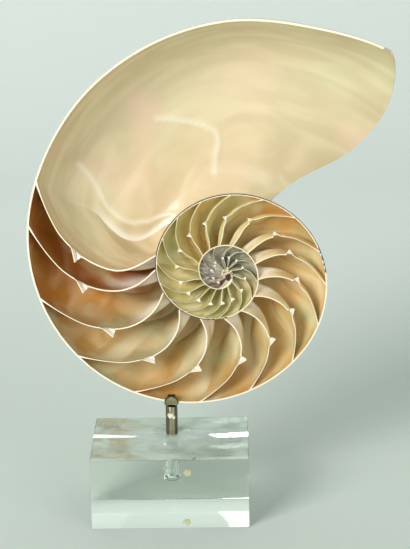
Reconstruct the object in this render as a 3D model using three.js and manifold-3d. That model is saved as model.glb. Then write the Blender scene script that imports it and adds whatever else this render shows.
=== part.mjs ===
// One half of a sawn nautilus shell on its display stand: a drilled clear block, a steel post
// and a small clip that grips the shell's outer wall.
// Units are millimetres and +Z is up. The origin is the middle of the block's underside.
// The sawn face looks towards -Y, and the half shell bulges away from it, towards +Y.
import * as THREE from 'three';
import { mergeVertices } from 'three/addons/utils/BufferGeometryUtils.js';
import Module from 'manifold-3d';

const wasm = await Module();
wasm.setup();

// Stand
const BLOCK = { width: 65, depth: 50, height: 30 };
const POST = { x: 0.5, radius: 2.5, inBlock: 7, bevel: 0.35, sides: 20 };
const HOLE = { radius: 2.8, depth: 17, collarRadius: 3.4, collarHeight: 1.2, sides: 20 };
const CLIP = { width: 6, thickness: 0.6, top: 46.7, shoulder: 1.3 };
const PRONG = { width: 3.2, lower: 4, upper: 1.8, belowTop: 0.2 };
const GAP = 0.3; // clearance left between two pieces that touch

// Coiling: the outer wall stands KEEL_START * exp(KEEL_GROWTH * angle) from the coiling axis.
// A growth angle is in degrees, and counts on through every whorl from the first chamber.
const CUT_Y = 6.5; // plane of the sawn face, over the post's centre
const AXIS = { x: 21.44, z: 100.26 };
const KEEL_START = 4.98;
const KEEL_GROWTH = 0.175; // per radian: each whorl is three times as wide as the last
const WHORL = 360;
// How far this shell departs from the ideal spiral: growth angle, share of the ideal radius
const DEPARTURE = [
  [-180, 1.12], [60, 1.17], [158, 1.01], [251, 1.0], [326, 1.055], [398, 1.065], [471, 1.025],
  [532, 1.018], [596, 0.968], [660, 0.97], [704, 0.984], [744, 0.965], [785, 0.942],
  [818, 0.951], [861, 0.982], [904, 0.999], [936, 0.999], [959, 1.012], [991, 1.018],
  [1011, 0.998], [1026, 1.004], [1100, 1.0],
];
const FACET_RISE = 1.003; // the outside's corners stand out so that its facets straddle the curve

// Section of a whorl, from the keel on the sawn face to the umbilicus: distance from the
// coiling axis and depth behind the sawn face, as shares of the keel's radius. The outside,
// the inside of the wall, and the side that the next whorl grew on differ near the umbilicus.
const FLANK = [[1, 0], [0.97, 0.12], [0.88, 0.225], [0.73, 0.3], [0.54, 0.346], [0.33, 0.37]];
const OUTSIDE = [...FLANK, [0.12, 0.35]];
const INSIDE = [...FLANK, [0.16, 0.25]];
const DORSAL = [...FLANK, [0.28, 0.37]];
const ACROSS = [0, 0.14, 0.32, 0.54, 0.76, 1]; // shares of the way to the outer wall
const WALL = { base: 0.45, perRadius: 0.006 };
const CALLUS_DEPTH = 20; // depth at which callus closes the umbilicus, on the coiling axis
const CALLUS_SKIN = 0.15; // film of callus in front of the lip, over the whorl before

// Aperture: how far along the growth the lip reaches, at each share of the section
const LIP = [[0, 1026], [0.17, 1030], [0.33, 1035], [0.5, 1041], [0.67, 1044], [0.83, 1040], [1, 1036]];
// Facets: degrees per step along the last whorl, and steps along each hollow
const SWEEP_STEP = 200 / 32;
const CHAMBER_STEPS = 2;
const BODY_CHAMBER_STEPS = 14;
const LIP_STEPS = 4;
// The outside is swept in two stretches, which meet at the middle angle
const LAST_WHORL_START = 650;
const LAST_WHORL_MIDDLE = 850;
const LAST_WHORL_END = 1050;

// Septa, newest first: growth angle of the tip of each siphon neck
const NECK_ANGLES = [
  903, 890, 867, 844, 820, 794, 772, 748, 725, 703, 684, 659, 636, 614, 592, 570,
  548, 525, 505, 486, 466, 446, 427, 403, 377, 351, 324, 296, 272,
];
const NECK_COUNT = 12; // the necks further in are too small for these solids
const NECK_LAG = 25; // a neck's tip lies this far behind its septum's edge on the outer wall
// A septum's line on the sawn face, between its deepest point and the outer wall:
// share of the way to the outer wall, degrees behind the edge on that wall
const SEPTUM_OUTER = [[0.45, -25], [0.55, -21.5], [0.65, -18], [0.73, -15], [0.82, -10], [1, 0]];
// From the inner wall to the deepest point: share of the turn back towards the inner edge
const SEPTUM_INNER = [[0, 1], [0.09, 0.58], [0.13, 0.42], [0.2, 0.25], [0.3, 0.08], [0.45, 0]];
// Degrees behind the outer edge at which septa of this growth angle meet the inner whorl
const INNER_EDGE = [[270, -30], [640, -29], [700, -21], [760, -16], [820, -13], [903, -12]];
const SEPTUM_DEEPEST = 0.45;
const SEPTUM = { base: 0.25, perRadius: 0.0065, umbilical: 4, flattening: 0.8 };
const SUTURE = { lag: 7, reach: 0.85 }; // the septum's edge sags backwards along the flank
const SIPHON = [[272, 0.45], [500, 0.5], [700, 0.55], [800, 0.58], [903, 0.61]]; // neck's place
// Siphon necks: the radii and the wall are shares of the distance from the coiling axis
const NECK = { degrees: 5.5, mouth: 0.055, tip: 0.034, wall: 0.011, sides: 6, overrun: 1 };

const OVER = 2; // how far solids run past the sawn face before it is cut flat

// Smooth curve through hand-placed points, flat beyond its ends
function curveThrough(points, x) {
  const last = points.length - 1;
  if (x <= points[0][0]) return points[0][1];
  if (x >= points[last][0]) return points[last][1];
  const k = points.findIndex((point, index) => index < last && x < points[index + 1][0]);
  const slope = (index) => {
    const before = points[Math.max(index - 1, 0)];
    const after = points[Math.min(index + 1, last)];
    return (after[1] - before[1]) / (after[0] - before[0]);
  };
  const span = points[k + 1][0] - points[k][0];
  const u = (x - points[k][0]) / span;
  const rise = u * u * (3 - 2 * u);
  const lead = u * (1 - u) * (1 - u) * span * slope(k);
  const trail = u * u * (u - 1) * span * slope(k + 1);
  return points[k][1] * (1 - rise) + points[k + 1][1] * rise + lead + trail;
}

function keelRadius(growth) {
  const ideal = KEEL_START * Math.exp(KEEL_GROWTH * THREE.MathUtils.degToRad(growth));
  return ideal * curveThrough(DEPARTURE, growth);
}

// Point at a growth angle, a distance from the coiling axis and a depth behind the sawn face
function place(growth, distance, depth) {
  const turn = THREE.MathUtils.degToRad(growth);
  return new THREE.Vector3(
    AXIS.x + distance * Math.cos(turn),
    CUT_Y + depth,
    AXIS.z - distance * Math.sin(turn),
  );
}

// Inward normal of a section at one of its samples
function inwardNormal(section, j) {
  const before = section[Math.max(j - 1, 0)];
  const after = section[Math.min(j + 1, section.length - 1)];
  if (j === 0) return [-1, 0];
  const along = new THREE.Vector2(after[0] - before[0], after[1] - before[1]).normalize();
  return [-along.y, along.x];
}

// Inner side of the outer wall: distance and depth in millimetres
function insideWall(growth, j) {
  const radius = keelRadius(growth);
  const wall = WALL.base + WALL.perRadius * radius;
  const normal = inwardNormal(INSIDE, j);
  return [INSIDE[j][0] * radius + normal[0] * wall, INSIDE[j][1] * radius + normal[1] * wall];
}

// Outside of the whorl before, on which the next whorl grew
function dorsalSide(growth, j) {
  return DORSAL[j].map((value) => value * keelRadius(growth));
}

function toManifold(geometry) {
  const bare = geometry.clone();
  bare.deleteAttribute('normal');
  bare.deleteAttribute('uv');
  const merged = mergeVertices(bare);
  const vertProperties = new Float32Array(merged.attributes.position.array);
  const corners = [...merged.index.array];
  const triangles = [];
  for (let k = 0; k < corners.length; k += 3) {
    const triangle = corners.slice(k, k + 3);
    if (new Set(triangle).size === 3) triangles.push(...triangle);
  }
  const triVerts = new Uint32Array(triangles);
  return new wasm.Manifold(new wasm.Mesh({ numProp: 3, vertProperties, triVerts }));
}

function toGeometry(manifold) {
  const mesh = manifold.getMesh();
  const geometry = new THREE.BufferGeometry();
  geometry.setAttribute('position', new THREE.BufferAttribute(mesh.vertProperties.slice(), 3));
  geometry.setIndex(new THREE.BufferAttribute(mesh.triVerts.slice(), 1));
  geometry.computeVertexNormals();
  return geometry;
}

function fromTriangles(triangles) {
  const geometry = new THREE.BufferGeometry();
  geometry.setFromPoints(triangles);
  return geometry;
}

// Closed solid bounded by the six sides of a grid of points
function gridSolid(ni, nj, nk, point) {
  const triangles = [];
  const quad = (a, b, c, d) => triangles.push(a, b, c, a, c, d);
  for (let i = 0; i < ni; i += 1) {
    for (let j = 0; j < nj; j += 1) {
      quad(point(i, j, 0), point(i + 1, j, 0), point(i + 1, j + 1, 0), point(i, j + 1, 0));
      quad(point(i, j, nk), point(i, j + 1, nk), point(i + 1, j + 1, nk), point(i + 1, j, nk));
    }
  }
  for (let i = 0; i < ni; i += 1) {
    for (let k = 0; k < nk; k += 1) {
      quad(point(i, 0, k), point(i, 0, k + 1), point(i + 1, 0, k + 1), point(i + 1, 0, k));
      quad(point(i, nj, k), point(i + 1, nj, k), point(i + 1, nj, k + 1), point(i, nj, k + 1));
    }
  }
  for (let j = 0; j < nj; j += 1) {
    for (let k = 0; k < nk; k += 1) {
      quad(point(0, j, k), point(0, j + 1, k), point(0, j + 1, k + 1), point(0, j, k + 1));
      quad(point(ni, j, k), point(ni, j, k + 1), point(ni, j + 1, k + 1), point(ni, j + 1, k));
    }
  }
  return toManifold(fromTriangles(triangles));
}

// Full, unhollowed whorl between two growth angles, from the coiling axis to its outside
function whorlSolid(from, to) {
  const steps = Math.round((to - from) / SWEEP_STEP);
  const point = (i, j, k) => {
    const growth = THREE.MathUtils.lerp(from, to, k / steps);
    const radius = keelRadius(growth) * FACET_RISE;
    const sample = OUTSIDE[Math.max(j - 1, 0)];
    if (i === 0) return place(growth, 0, j === 0 ? -OVER : CALLUS_DEPTH);
    if (j === 0) return place(growth, radius, -OVER);
    const nearAxis = j === OUTSIDE.length;
    const depth = nearAxis ? (sample[1] * radius + CALLUS_DEPTH) / 2 : sample[1] * radius;
    return place(growth, sample[0] * radius, depth);
  };
  return gridSolid(1, OUTSIDE.length, steps, point);
}

// Hollow between the previous whorl and a section of the outer wall. rearAngle and frontAngle
// give its two ends as growth angles, from the share across and the share of the section.
function hollow(across, steps, inner, outer, rearAngle, frontAngle) {
  const lastSample = OUTSIDE.length - 1;
  const point = (i, j, k) => {
    const sample = Math.max(j - 1, 0);
    const share = sample / lastSample;
    const rear = rearAngle(across[i], share);
    const growth = THREE.MathUtils.lerp(rear, frontAngle(across[i], share), k / steps);
    const [outerDistance, outerDepth] = outer(growth, sample);
    const [innerDistance, innerDepth] = inner(growth - WHORL, sample);
    const distance = THREE.MathUtils.lerp(innerDistance, outerDistance, across[i]);
    const depth = THREE.MathUtils.lerp(innerDepth, outerDepth, across[i]);
    return place(growth, distance, j === 0 ? -OVER - 1 : depth);
  };
  return gridSolid(across.length - 1, OUTSIDE.length, steps, point);
}

// Degrees by which a septum lies behind its edge on the keel
function septumLag(across, share, innerEdge) {
  const turnBack = curveThrough(SEPTUM_INNER, across);
  const inner = -NECK_LAG + (innerEdge + NECK_LAG) * turnBack;
  const onCut = across < SEPTUM_DEEPEST ? inner : curveThrough(SEPTUM_OUTER, across);
  const straight = innerEdge * (1 - across);
  const wave = Math.sin(Math.PI * Math.min(share / SUTURE.reach, 1));
  return straight + (onCut - straight) * (1 - SEPTUM.flattening * share ** 2) - SUTURE.lag * wave * wave;
}

function siphonRadius(growth, across) {
  return THREE.MathUtils.lerp(keelRadius(growth - WHORL), keelRadius(growth), across);
}

// Growth angle of a septum's middle surface, or of one of its faces (side is -1 or 1)
function septumAngle(index, across, share, side) {
  const neckAngle = NECK_ANGLES[index];
  const angle = neckAngle + NECK_LAG + septumLag(across, share, curveThrough(INNER_EDGE, neckAngle));
  const thickness = SEPTUM.base + SEPTUM.perRadius * keelRadius(angle);
  const halfTurn = THREE.MathUtils.radToDeg(thickness / 2 / siphonRadius(angle, across));
  return angle + side * halfTurn * (1 + SEPTUM.umbilical * share * share);
}

function chamber(index) {
  const rear = (a, share) => septumAngle(index + 1, a, share, 1);
  const front = (a, share) => septumAngle(index, a, share, -1);
  return hollow(ACROSS, CHAMBER_STEPS, dorsalSide, insideWall, rear, front);
}

function bodyChamber() {
  const rear = (a, share) => septumAngle(0, a, share, 1);
  return hollow(ACROSS, BODY_CHAMBER_STEPS, dorsalSide, insideWall, rear, () => LAST_WHORL_END + 4);
}

// Everything in front of the lip, which trims the last whorl back to its aperture
function beyondLip() {
  const last = OUTSIDE.length - 1;
  const near = (growth, j) => {
    if (j === last) return [CALLUS_SKIN, CALLUS_DEPTH + CALLUS_SKIN];
    return OUTSIDE[j].map((value) => value * keelRadius(growth) + CALLUS_SKIN);
  };
  const far = (growth, j) => {
    if (j === last) return [CALLUS_SKIN, keelRadius(growth)];
    return OUTSIDE[j].map((value) => value * keelRadius(growth) * 1.2);
  };
  const lip = (a, share) => curveThrough(LIP, share);
  return hollow([0, 1], LIP_STEPS, near, far, lip, () => LAST_WHORL_END + 6);
}

// Short funnel of a siphon neck, from its septum back towards the chamber behind it, drawn in
// by innerOffset and lengthened at both ends by overrun
function neckCone(index, innerOffset, overrun) {
  const across = curveThrough(SIPHON, NECK_ANGLES[index]);
  const mouthAngle = septumAngle(index, across, 0, 1);
  const tipAngle = mouthAngle - NECK.degrees;
  const radius = siphonRadius(mouthAngle, across);
  const mouth = place(mouthAngle, radius, 0);
  const tip = place(tipAngle, siphonRadius(tipAngle, across), 0);
  const length = mouth.distanceTo(tip);
  const profile = [
    new THREE.Vector2(0, -overrun),
    new THREE.Vector2(NECK.mouth * radius - innerOffset, -overrun),
    new THREE.Vector2(NECK.tip * radius - innerOffset, length + overrun),
    new THREE.Vector2(0, length + overrun),
  ];
  const geometry = new THREE.LatheGeometry(profile, NECK.sides);
  const direction = tip.clone().sub(mouth).normalize();
  const lathe = new THREE.Vector3(0, 1, 0);
  geometry.applyQuaternion(new THREE.Quaternion().setFromUnitVectors(lathe, direction));
  geometry.translate(mouth.x, mouth.y, mouth.z);
  return toManifold(geometry);
}

function shellHalf() {
  let shell = whorlSolid(LAST_WHORL_START, LAST_WHORL_MIDDLE);
  shell = shell.add(whorlSolid(LAST_WHORL_MIDDLE, LAST_WHORL_END));
  shell = shell.subtract(bodyChamber()).subtract(beyondLip());
  for (let index = 0; index < NECK_ANGLES.length - 1; index += 1) {
    shell = shell.subtract(chamber(index));
  }
  for (let index = 0; index < NECK_COUNT; index += 1) {
    const wall = NECK.wall * keelRadius(NECK_ANGLES[index]);
    shell = shell.add(neckCone(index, 0, 0));
    shell = shell.subtract(neckCone(index, wall, NECK.overrun));
  }
  const behind = new THREE.BoxGeometry(400, 200, 400);
  behind.translate(0, CUT_Y + 100, AXIS.z);
  return toGeometry(shell.intersect(toManifold(behind)));
}

// Height of the outside of the wall where it passes over the post
function wallOverPost() {
  let growth = 800;
  while (AXIS.x + keelRadius(growth) * Math.cos(THREE.MathUtils.degToRad(growth)) > POST.x) {
    growth += 0.1;
  }
  return place(growth, keelRadius(growth), 0).z;
}

// The wall slopes over the post, so each prong clears the wall's end that is nearest to it
const WALL_SLOPE = 0.2;
const wallBottom = wallOverPost() - WALL_SLOPE * PRONG.width / 2;

function blockGeometry() {
  const body = new THREE.BoxGeometry(BLOCK.width, BLOCK.depth, BLOCK.height);
  body.translate(0, 0, BLOCK.height / 2);
  const bottom = BLOCK.height - HOLE.depth;
  const profile = [
    new THREE.Vector2(0, bottom),
    new THREE.Vector2(HOLE.collarRadius, bottom),
    new THREE.Vector2(HOLE.collarRadius, bottom + HOLE.collarHeight),
    new THREE.Vector2(HOLE.radius, bottom + HOLE.collarHeight + HOLE.collarRadius - HOLE.radius),
    new THREE.Vector2(HOLE.radius, BLOCK.height + OVER),
    new THREE.Vector2(0, BLOCK.height + OVER),
  ];
  const hole = new THREE.LatheGeometry(profile, HOLE.sides);
  hole.rotateX(Math.PI / 2);
  hole.translate(POST.x, CUT_Y, 0);
  return toGeometry(toManifold(body).subtract(toManifold(hole)));
}

function postGeometry() {
  const bottom = BLOCK.height - POST.inBlock;
  const top = wallBottom - CLIP.thickness - 2 * GAP;
  const profile = [
    new THREE.Vector2(0, bottom),
    new THREE.Vector2(POST.radius - POST.bevel, bottom),
    new THREE.Vector2(POST.radius, bottom + POST.bevel),
    new THREE.Vector2(POST.radius, top - POST.bevel),
    new THREE.Vector2(POST.radius - POST.bevel, top),
    new THREE.Vector2(0, top),
  ];
  const post = new THREE.LatheGeometry(profile, POST.sides);
  post.rotateX(Math.PI / 2);
  post.translate(POST.x, CUT_Y, 0);
  return post;
}

function clipGeometry() {
  const bottom = wallBottom - GAP - CLIP.thickness;
  const half = CLIP.width / 2;
  const outline = new THREE.Shape();
  outline.moveTo(-half, bottom);
  outline.lineTo(half, bottom);
  outline.lineTo(half, CLIP.top - CLIP.shoulder);
  outline.quadraticCurveTo(half, CLIP.top, 0, CLIP.top);
  outline.quadraticCurveTo(-half, CLIP.top, -half, CLIP.top - CLIP.shoulder);
  outline.lineTo(-half, bottom);
  const plate = new THREE.ExtrudeGeometry(outline, {
    depth: CLIP.thickness, bevelEnabled: false, curveSegments: 6,
  });
  plate.rotateX(Math.PI / 2);
  plate.translate(POST.x, CUT_Y - GAP, 0);
  const prong = (reach, z) => {
    const length = reach + GAP + CLIP.thickness;
    const box = new THREE.BoxGeometry(PRONG.width, length, CLIP.thickness);
    box.translate(POST.x, CUT_Y + reach - length / 2, z);
    return toManifold(box);
  };
  const lower = prong(PRONG.lower, bottom + CLIP.thickness / 2);
  const upper = prong(PRONG.upper, CLIP.top - PRONG.belowTop - CLIP.thickness / 2);
  return toGeometry(toManifold(plate).add(lower).add(upper));
}

function piece(name, geometry, color, roughness, metalness) {
  const material = new THREE.MeshStandardMaterial({ color, roughness, metalness });
  const mesh = new THREE.Mesh(geometry, material);
  mesh.name = name;
  return mesh;
}

const block = piece('acrylic_block', blockGeometry(), 0xdfeae6, 0.05, 0);
block.material.transparent = true;
block.material.opacity = 0.35;

const nautilus = new THREE.Group();
nautilus.add(block);
nautilus.add(piece('post', postGeometry(), 0x5a4a40, 0.35, 1));
nautilus.add(piece('clip', clipGeometry(), 0x6d6650, 0.45, 1));
nautilus.add(piece('shell_half', shellHalf(), 0xe9d6ae, 0.35, 0));

export default nautilus;
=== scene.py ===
"""Half of a sawn nautilus shell on its display stand, with the looks of nacre, porcelain shell,
clear acrylic and steel. Lengths in the shell's and the stand's own formulas are millimetres."""

import math

import bmesh
import bpy
import numpy as np
from mathutils import Matrix, Vector
from mathutils.geometry import delaunay_2d_cdt


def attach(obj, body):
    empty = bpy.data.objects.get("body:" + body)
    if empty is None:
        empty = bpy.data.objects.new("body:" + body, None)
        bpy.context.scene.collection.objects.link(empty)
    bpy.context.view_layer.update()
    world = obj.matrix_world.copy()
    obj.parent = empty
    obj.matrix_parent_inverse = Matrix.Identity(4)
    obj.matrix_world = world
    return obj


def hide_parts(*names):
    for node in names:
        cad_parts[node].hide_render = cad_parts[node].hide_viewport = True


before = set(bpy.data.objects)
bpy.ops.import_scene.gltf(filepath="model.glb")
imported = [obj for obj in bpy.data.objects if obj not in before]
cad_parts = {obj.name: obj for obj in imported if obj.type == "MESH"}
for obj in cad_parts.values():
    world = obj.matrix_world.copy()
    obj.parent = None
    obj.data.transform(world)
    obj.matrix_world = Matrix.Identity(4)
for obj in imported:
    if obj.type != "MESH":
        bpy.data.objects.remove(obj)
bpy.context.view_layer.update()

bl_info = {
    "name": "Sawn nautilus shell on a stand",
    "version": (1, 0, 0),
    "blender": (4, 5, 0),
    "location": "View3D > Sidebar > Nautilus",
    "description": "Builds a sawn nautilus shell half, its clear block, post and clip",
    "category": "Object",
}

MM = 0.001

# Stand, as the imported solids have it
BLOCK_WIDTH, BLOCK_DEPTH, BLOCK_HEIGHT, BLOCK_BEVEL = 65.0, 50.0, 30.0, 0.35
POST_X, POST_RADIUS, POST_IN_BLOCK, POST_TOP = 0.5, 2.5, 7.0, 42.18
CLIP_FRONT_Y, CLIP_BACK_Y, CLIP_UPPER_REACH_Y, CLIP_THICK, CLIP_PRONG_WIDTH = 5.6, 10.5, 8.3, 0.6, 3.2
CLIP_LOW_Z, CLIP_UPPER_Z, CLIP_MIDDLE_Z = 42.49, 45.9, 44.4
# Outline of the clip's plate: distance to the side of the post, and height
CLIP_OUTLINE = (
    (-2.3, 42.5), (0, 42.5), (2.3, 42.5), (2.99, 43.25), (2.8, 44.3), (2.45, 45.3), (1.9, 46.05),
    (1.1, 46.5), (0, 46.66), (-1.1, 46.5), (-1.9, 46.05), (-2.45, 45.3), (-2.8, 44.3), (-2.99, 43.25),
)
# Rings of the clip's plate from back to front: scale, inset and place behind its front
CLIP_RINGS = (
    (1, 0.12, CLIP_THICK), (1, 0, CLIP_THICK - 0.12), (1, 0, 0.15), (1, 0.12, 0),
    (1, 0.34, 0), (1, 0.5, 0.14), (0.5, 0.4, 0.08),
)
CLIP_FACE_FROM_RING, CLIP_PRONG_START, CLIP_BEVEL = 4, 0.3, 0.12
POST_BEVEL, TURNED_SIDES = 0.35, 64
HOLE_RADIUS, HOLE_DEPTH, HOLE_COLLAR_RADIUS, HOLE_COLLAR_HEIGHT = 2.8, 17.0, 3.4, 1.2
# Specks of dried glue in and on the block: centre and half sizes. Their lumps are per metre.
GLUE_SPECKS = (
    ((6.0, 24.5, 10.0), (1.5, 0.3, 1.4)),
    ((6.8, -24.85, 2.6), (1.5, 0.1, 1.4)),
    ((-2.9, 5.2, 17.6), (0.35, 0.5, 0.7)),
)
GLUE_LUMP, GLUE_LUMPS_X, GLUE_LUMPS_Z = 0.22, 4100, 3300
# Sheet of dried smears over the block's top, with a few steps of the hole's rim for each corner
HAZE_INSET, HAZE_LIFT, HAZE_STEPS = 0.3, 0.01, 8

# Coiling: the keel stands KEEL_START * exp(KEEL_GROWTH * angle) from the coiling axis. A growth
# angle is in degrees and counts on through every whorl from the first chamber.
CUT_Y = 6.5
AXIS_X, AXIS_Z = 21.44, 100.26
KEEL_START, KEEL_GROWTH = 4.98, 0.175
WHORL = 360.0
# This shell's own departures from the even spiral: growth angle and factor on the keel's radius
DEPARTURE = (
    (-180, 0.87), (-90, 0.73), (-24, 0.78), (0, 0.98), (29, 1.14), (60, 1.17), (158, 1.01),
    (251, 1.0), (326, 1.055), (398, 1.065), (471, 1.025), (532, 1.018), (596, 0.968),
    (660, 0.97), (704, 0.984), (744, 0.965), (785, 0.942), (818, 0.951), (861, 0.982),
    (904, 0.999), (936, 0.999), (959, 1.012), (991, 1.018), (1011, 0.998), (1026, 1.004),
    (1100, 1.0),
)

# The first whorl curls around a centre of its own: growth angle and share of the whole shift
CORE_SHIFT_X, CORE_SHIFT_Z, CORE_RADIUS = 3.2, -0.9, 2.6
CORE_SHARE = ((-100, 1), (-24, 0.35), (20, 0))
# Place of the painted shade of the hollow that is sawn open at the centre: a dark spot on the flat sawn
# face
CORE_HOLLOW_SHADE = (25.0, 6.5, 98.0)

# Section of a whorl at equal steps of its parameter, from the keel on the sawn face to the
# umbilicus: distance from the axis and depth behind the face, as shares of the keel's radius
FLANK = ((1, 0), (0.97, 0.12), (0.88, 0.225), (0.73, 0.3), (0.54, 0.346), (0.33, 0.37))
OUTSIDE_END, INSIDE_END = (0.12, 0.35), (0.16, 0.25)
FLANK_END = 5 / 6
AXIS_SHARE = 7 / 6
UMBILICUS_SLOPE = (-0.42, 0.004)
SECTION_STEP = 0.004
DORSAL_REACH, UMBILICAL_DEPTH = 0.25, 0.36
CALLUS_DEPTH = 20.0
# Wall: its thickness at the axis, and what is added per millimetre of the keel's radius
WALL_BASE, WALL_PER_RADIUS = 0.38, 0.0048
# Edge of the aperture: share of the section and growth angle
LIP = ((0, 1026), (0.17, 1030), (0.33, 1035), (0.5, 1041), (0.67, 1044), (0.83, 1040), (1, 1036))
LIP_INSET = 0.09

# Septa, newest first: growth angle of each one's deepest point. The innermost are guessed.
SEPTUM_ANGLES = (
    903, 890, 867, 844, 820, 794, 772, 748, 725, 703, 684, 659, 636, 614, 592, 570, 548, 525,
    505, 486, 466, 446, 427, 403, 377, 351, 324, 296, 272, 236, 198, 158, 124,
)
FIRST_CHAMBER_END, FIRST_END_BULGE = 95.0, 6.0
# A septum's curve on the sawn face: how far its deepest point lies behind its outer edge, then
# degrees from that edge by share across the chamber, and share of the way to the inner edge
DEEPEST_LAG = 25.0
SEPTUM_OUTER = ((0.45, -25), (0.55, -21.5), (0.65, -18), (0.73, -15), (0.82, -10), (1, 0))
SEPTUM_INNER = ((0, 1), (0.03, 0.8), (0.07, 0.55), (0.12, 0.33), (0.2, 0.12), (0.3, 0.03), (0.45, 0))
# Degrees of the inner edge, by the septum's growth angle
INNER_EDGE = ((270, -30), (640, -29), (700, -21), (760, -16), (820, -13), (903, -12))
SEPTUM_DEEPEST, SEPTUM_SOFTENING = 0.45, 0.13
SEPTUM_BASE, SEPTUM_PER_RADIUS, SEPTUM_UMBILICAL = 0.14, 0.0068, 1.2
SEPTUM_FLATTENING = 0.8
# Shares across a chamber between which a septum's curve is softened, and where its root widens
SOFT_FROM, SOFT_TO, SOFT_EASE = 0.15, 0.85, 0.2
ROOT_START, ROOT_BEHIND, ROOT_IN_FRONT = 0.9, 2.2, 0.3
# Degrees by which a septum's edge runs behind or ahead, along the outer wall and the inner whorl
SUTURE = (
    (0, 0), (0.2, -3), (0.4, -5.5), (0.55, -8), (0.62, -13.5), (0.68, -18), (0.73, -19.5),
    (0.78, -16.5), (0.84, -5), (0.88, 4), (0.93, 8), (1, 9),
)
INNER_SUTURE = ((0, 0), (0.2, -2.5), (0.45, -7), (0.7, -3), (0.85, 0), (1, 0))
# Degrees by which the newest septa bulge farther back, and where
DEEPER = {0: 1.9, 1: 0.7}
DEEPER_AT, DEEPER_WIDTH = 0.28, 0.16
# Share across a chamber at which the siphon runs, by growth angle
SIPHON = ((272, 0.45), (500, 0.5), (700, 0.55), (800, 0.58), (903, 0.61))

# Siphon necks: a length in millimetres, and what is added per millimetre from the coiling axis
NECK_MOUTH, NECK_TIP = (0.2, 0.0295), (0.15, 0.0195)
NECK_WALL, NECK_FILLET = (0.09, 0.0068), (0.06, 0.014)
NECK_LENGTH, NECK_SLANT = (0.7, 0.036), 0.3
FLUTES, FLUTE_DEPTH, FLUTE_AT_MOUTH = 3, 0.14, 0.4
FILLET_LEAST, FILLET_MORE, FILLET_BEHIND = 0.45, 1.3, 0.5

# Cells around a neck, set close: how many across and behind the sawn face, and how far they reach
# past it, in millimetres and as shares of the chamber and of the section
CLOSE_ACROSS, CLOSE_DEEP, CLEAR_OF_NECK = 6, 4, 0.9
CLOSE_HALF_ACROSS, CLOSE_SHARE = 0.1, 0.13
TUBE_RINGS, NECK_FROM_RING = 5, 5
# Other cells: inside and outside of the siphon, behind the sawn face and along the chamber
SMALL_SEPTA = 650
BODY_CELLS, LARGE_CELLS, SMALL_CELLS = (20, 12, 60, 120), (15, 9, 18, 5), (9, 7, 10, 3)
OUTSIDE_TURNS, CALLUS_CELLS = 200, 10

# Low ridges inside the body chamber: growth angle and share of the section along each
RIDGES = (
    ((935.5, 0.4), (933.5, 0.48), (931, 0.53), (928, 0.565), (925, 0.595), (923, 0.625),
     (920.5, 0.675), (920, 0.725), (924.5, 0.785), (939, 0.86)),
    ((966.5, 0.565), (974.5, 0.62), (984, 0.675), (989, 0.705), (990.5, 0.745), (988.5, 0.79),
     (986.5, 0.845)),
)
# Width of the ridges in millimetres, and the strength of the painted highlight along them
RIDGE_WIDTH, RIDGE_HIGHLIGHT = 1.1, 0.5
# Painted highlight along the rounded junction just in front of the newest septum: degrees ahead of it,
# width, and shares it runs between
SUTURE_HIGHLIGHT_AHEAD, SUTURE_HIGHLIGHT_WIDTH = 0.8, 3.6
SUTURE_HIGHLIGHT_FROM, SUTURE_HIGHLIGHT_TO, SUTURE_HIGHLIGHT_EASE = 0.53, 0.97, 0.1

# Dark film on the sawn edge: growth angles, how full its outline is and how much wall it adds
FILM_START, FILM_END, FILM_STEP = 440.0, 722.0, 2.5
FILM_FULLNESS, FILM_BED, FILM_INSET = 0.4, 0.22, 0.05

# Mesh: tolerances in millimetres, but for the merging of points in metres
CUT_TOLERANCE, KEEL_TOLERANCE, WALL_TOLERANCE = 1e-3, 0.02, 0.05
MERGE_GAP, SHORTEST_EDGE = 1e-6, 1e-7
SHELL_SHARP_ANGLE = 38
# The second attribute holds the painted highlight on the body chamber's ridges and in front of its newest
# septum
PLACE_NAME, RIDGE_HIGHLIGHT_NAME = "shell_place", "shell_ridge_highlight"

# Stage, in metres but for the camera's place
PAPER_BEND_START, PAPER_BEND, PAPER_BELOW = 0.55, 0.5, 0.00005
PAPER_HALF_WIDTH, PAPER_CELLS, PAPER_FRONT, PAPER_TOP = 3, 8, -2.0, 3.5
LIGHT_TARGET = (0.02, 0.0, 0.12)
KEY_PLACE, KEY_SIZE, KEY_COLOUR = (-0.95, -1.3, 0.8), 0.8, (1.0, 0.985, 0.95)
FILL_PLACE, FILL_SIZE, FILL_COLOUR = (0.85, -1.15, 0.5), 1.0, (0.95, 0.98, 1.0)
SKY_COLOUR = (0.88, 0.93, 0.92, 1)
CAMERA_PLACE = (27.7, -867.5, 363.3)
CAMERA_PAN, CAMERA_TILT, CAMERA_ROLL = -0.8, 16.8, -0.97
CAMERA_LENS, CAMERA_SENSOR = 145.2, 36
CAMERA_NEAR, CAMERA_FAR = 0.05, 20

KINDS = ("outside", "body", "chamber", "neck", "edge", "film", "lip")


def curve_through(points, x):
    """Smooth curve through given points, flat beyond its ends."""
    p = np.asarray(points, float)
    x = np.clip(np.asarray(x, float), p[0, 0], p[-1, 0])
    k = np.clip(np.searchsorted(p[:, 0], x, side="right") - 1, 0, len(p) - 2)
    low = np.maximum(np.arange(len(p)) - 1, 0)
    high = np.minimum(np.arange(len(p)) + 1, len(p) - 1)
    slope = (p[high, 1] - p[low, 1]) / (p[high, 0] - p[low, 0])
    span = p[k + 1, 0] - p[k, 0]
    u = (x - p[k, 0]) / span
    rise = u * u * (3 - 2 * u)
    lead = u * (1 - u) ** 2 * span * slope[k]
    trail = u * u * (u - 1) * span * slope[k + 1]
    return p[k, 1] * (1 - rise) + p[k + 1, 1] * rise + lead + trail


def keel_radius(growth):
    ideal = KEEL_START * np.exp(KEEL_GROWTH * np.radians(growth))
    return ideal * curve_through(DEPARTURE, growth)


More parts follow.
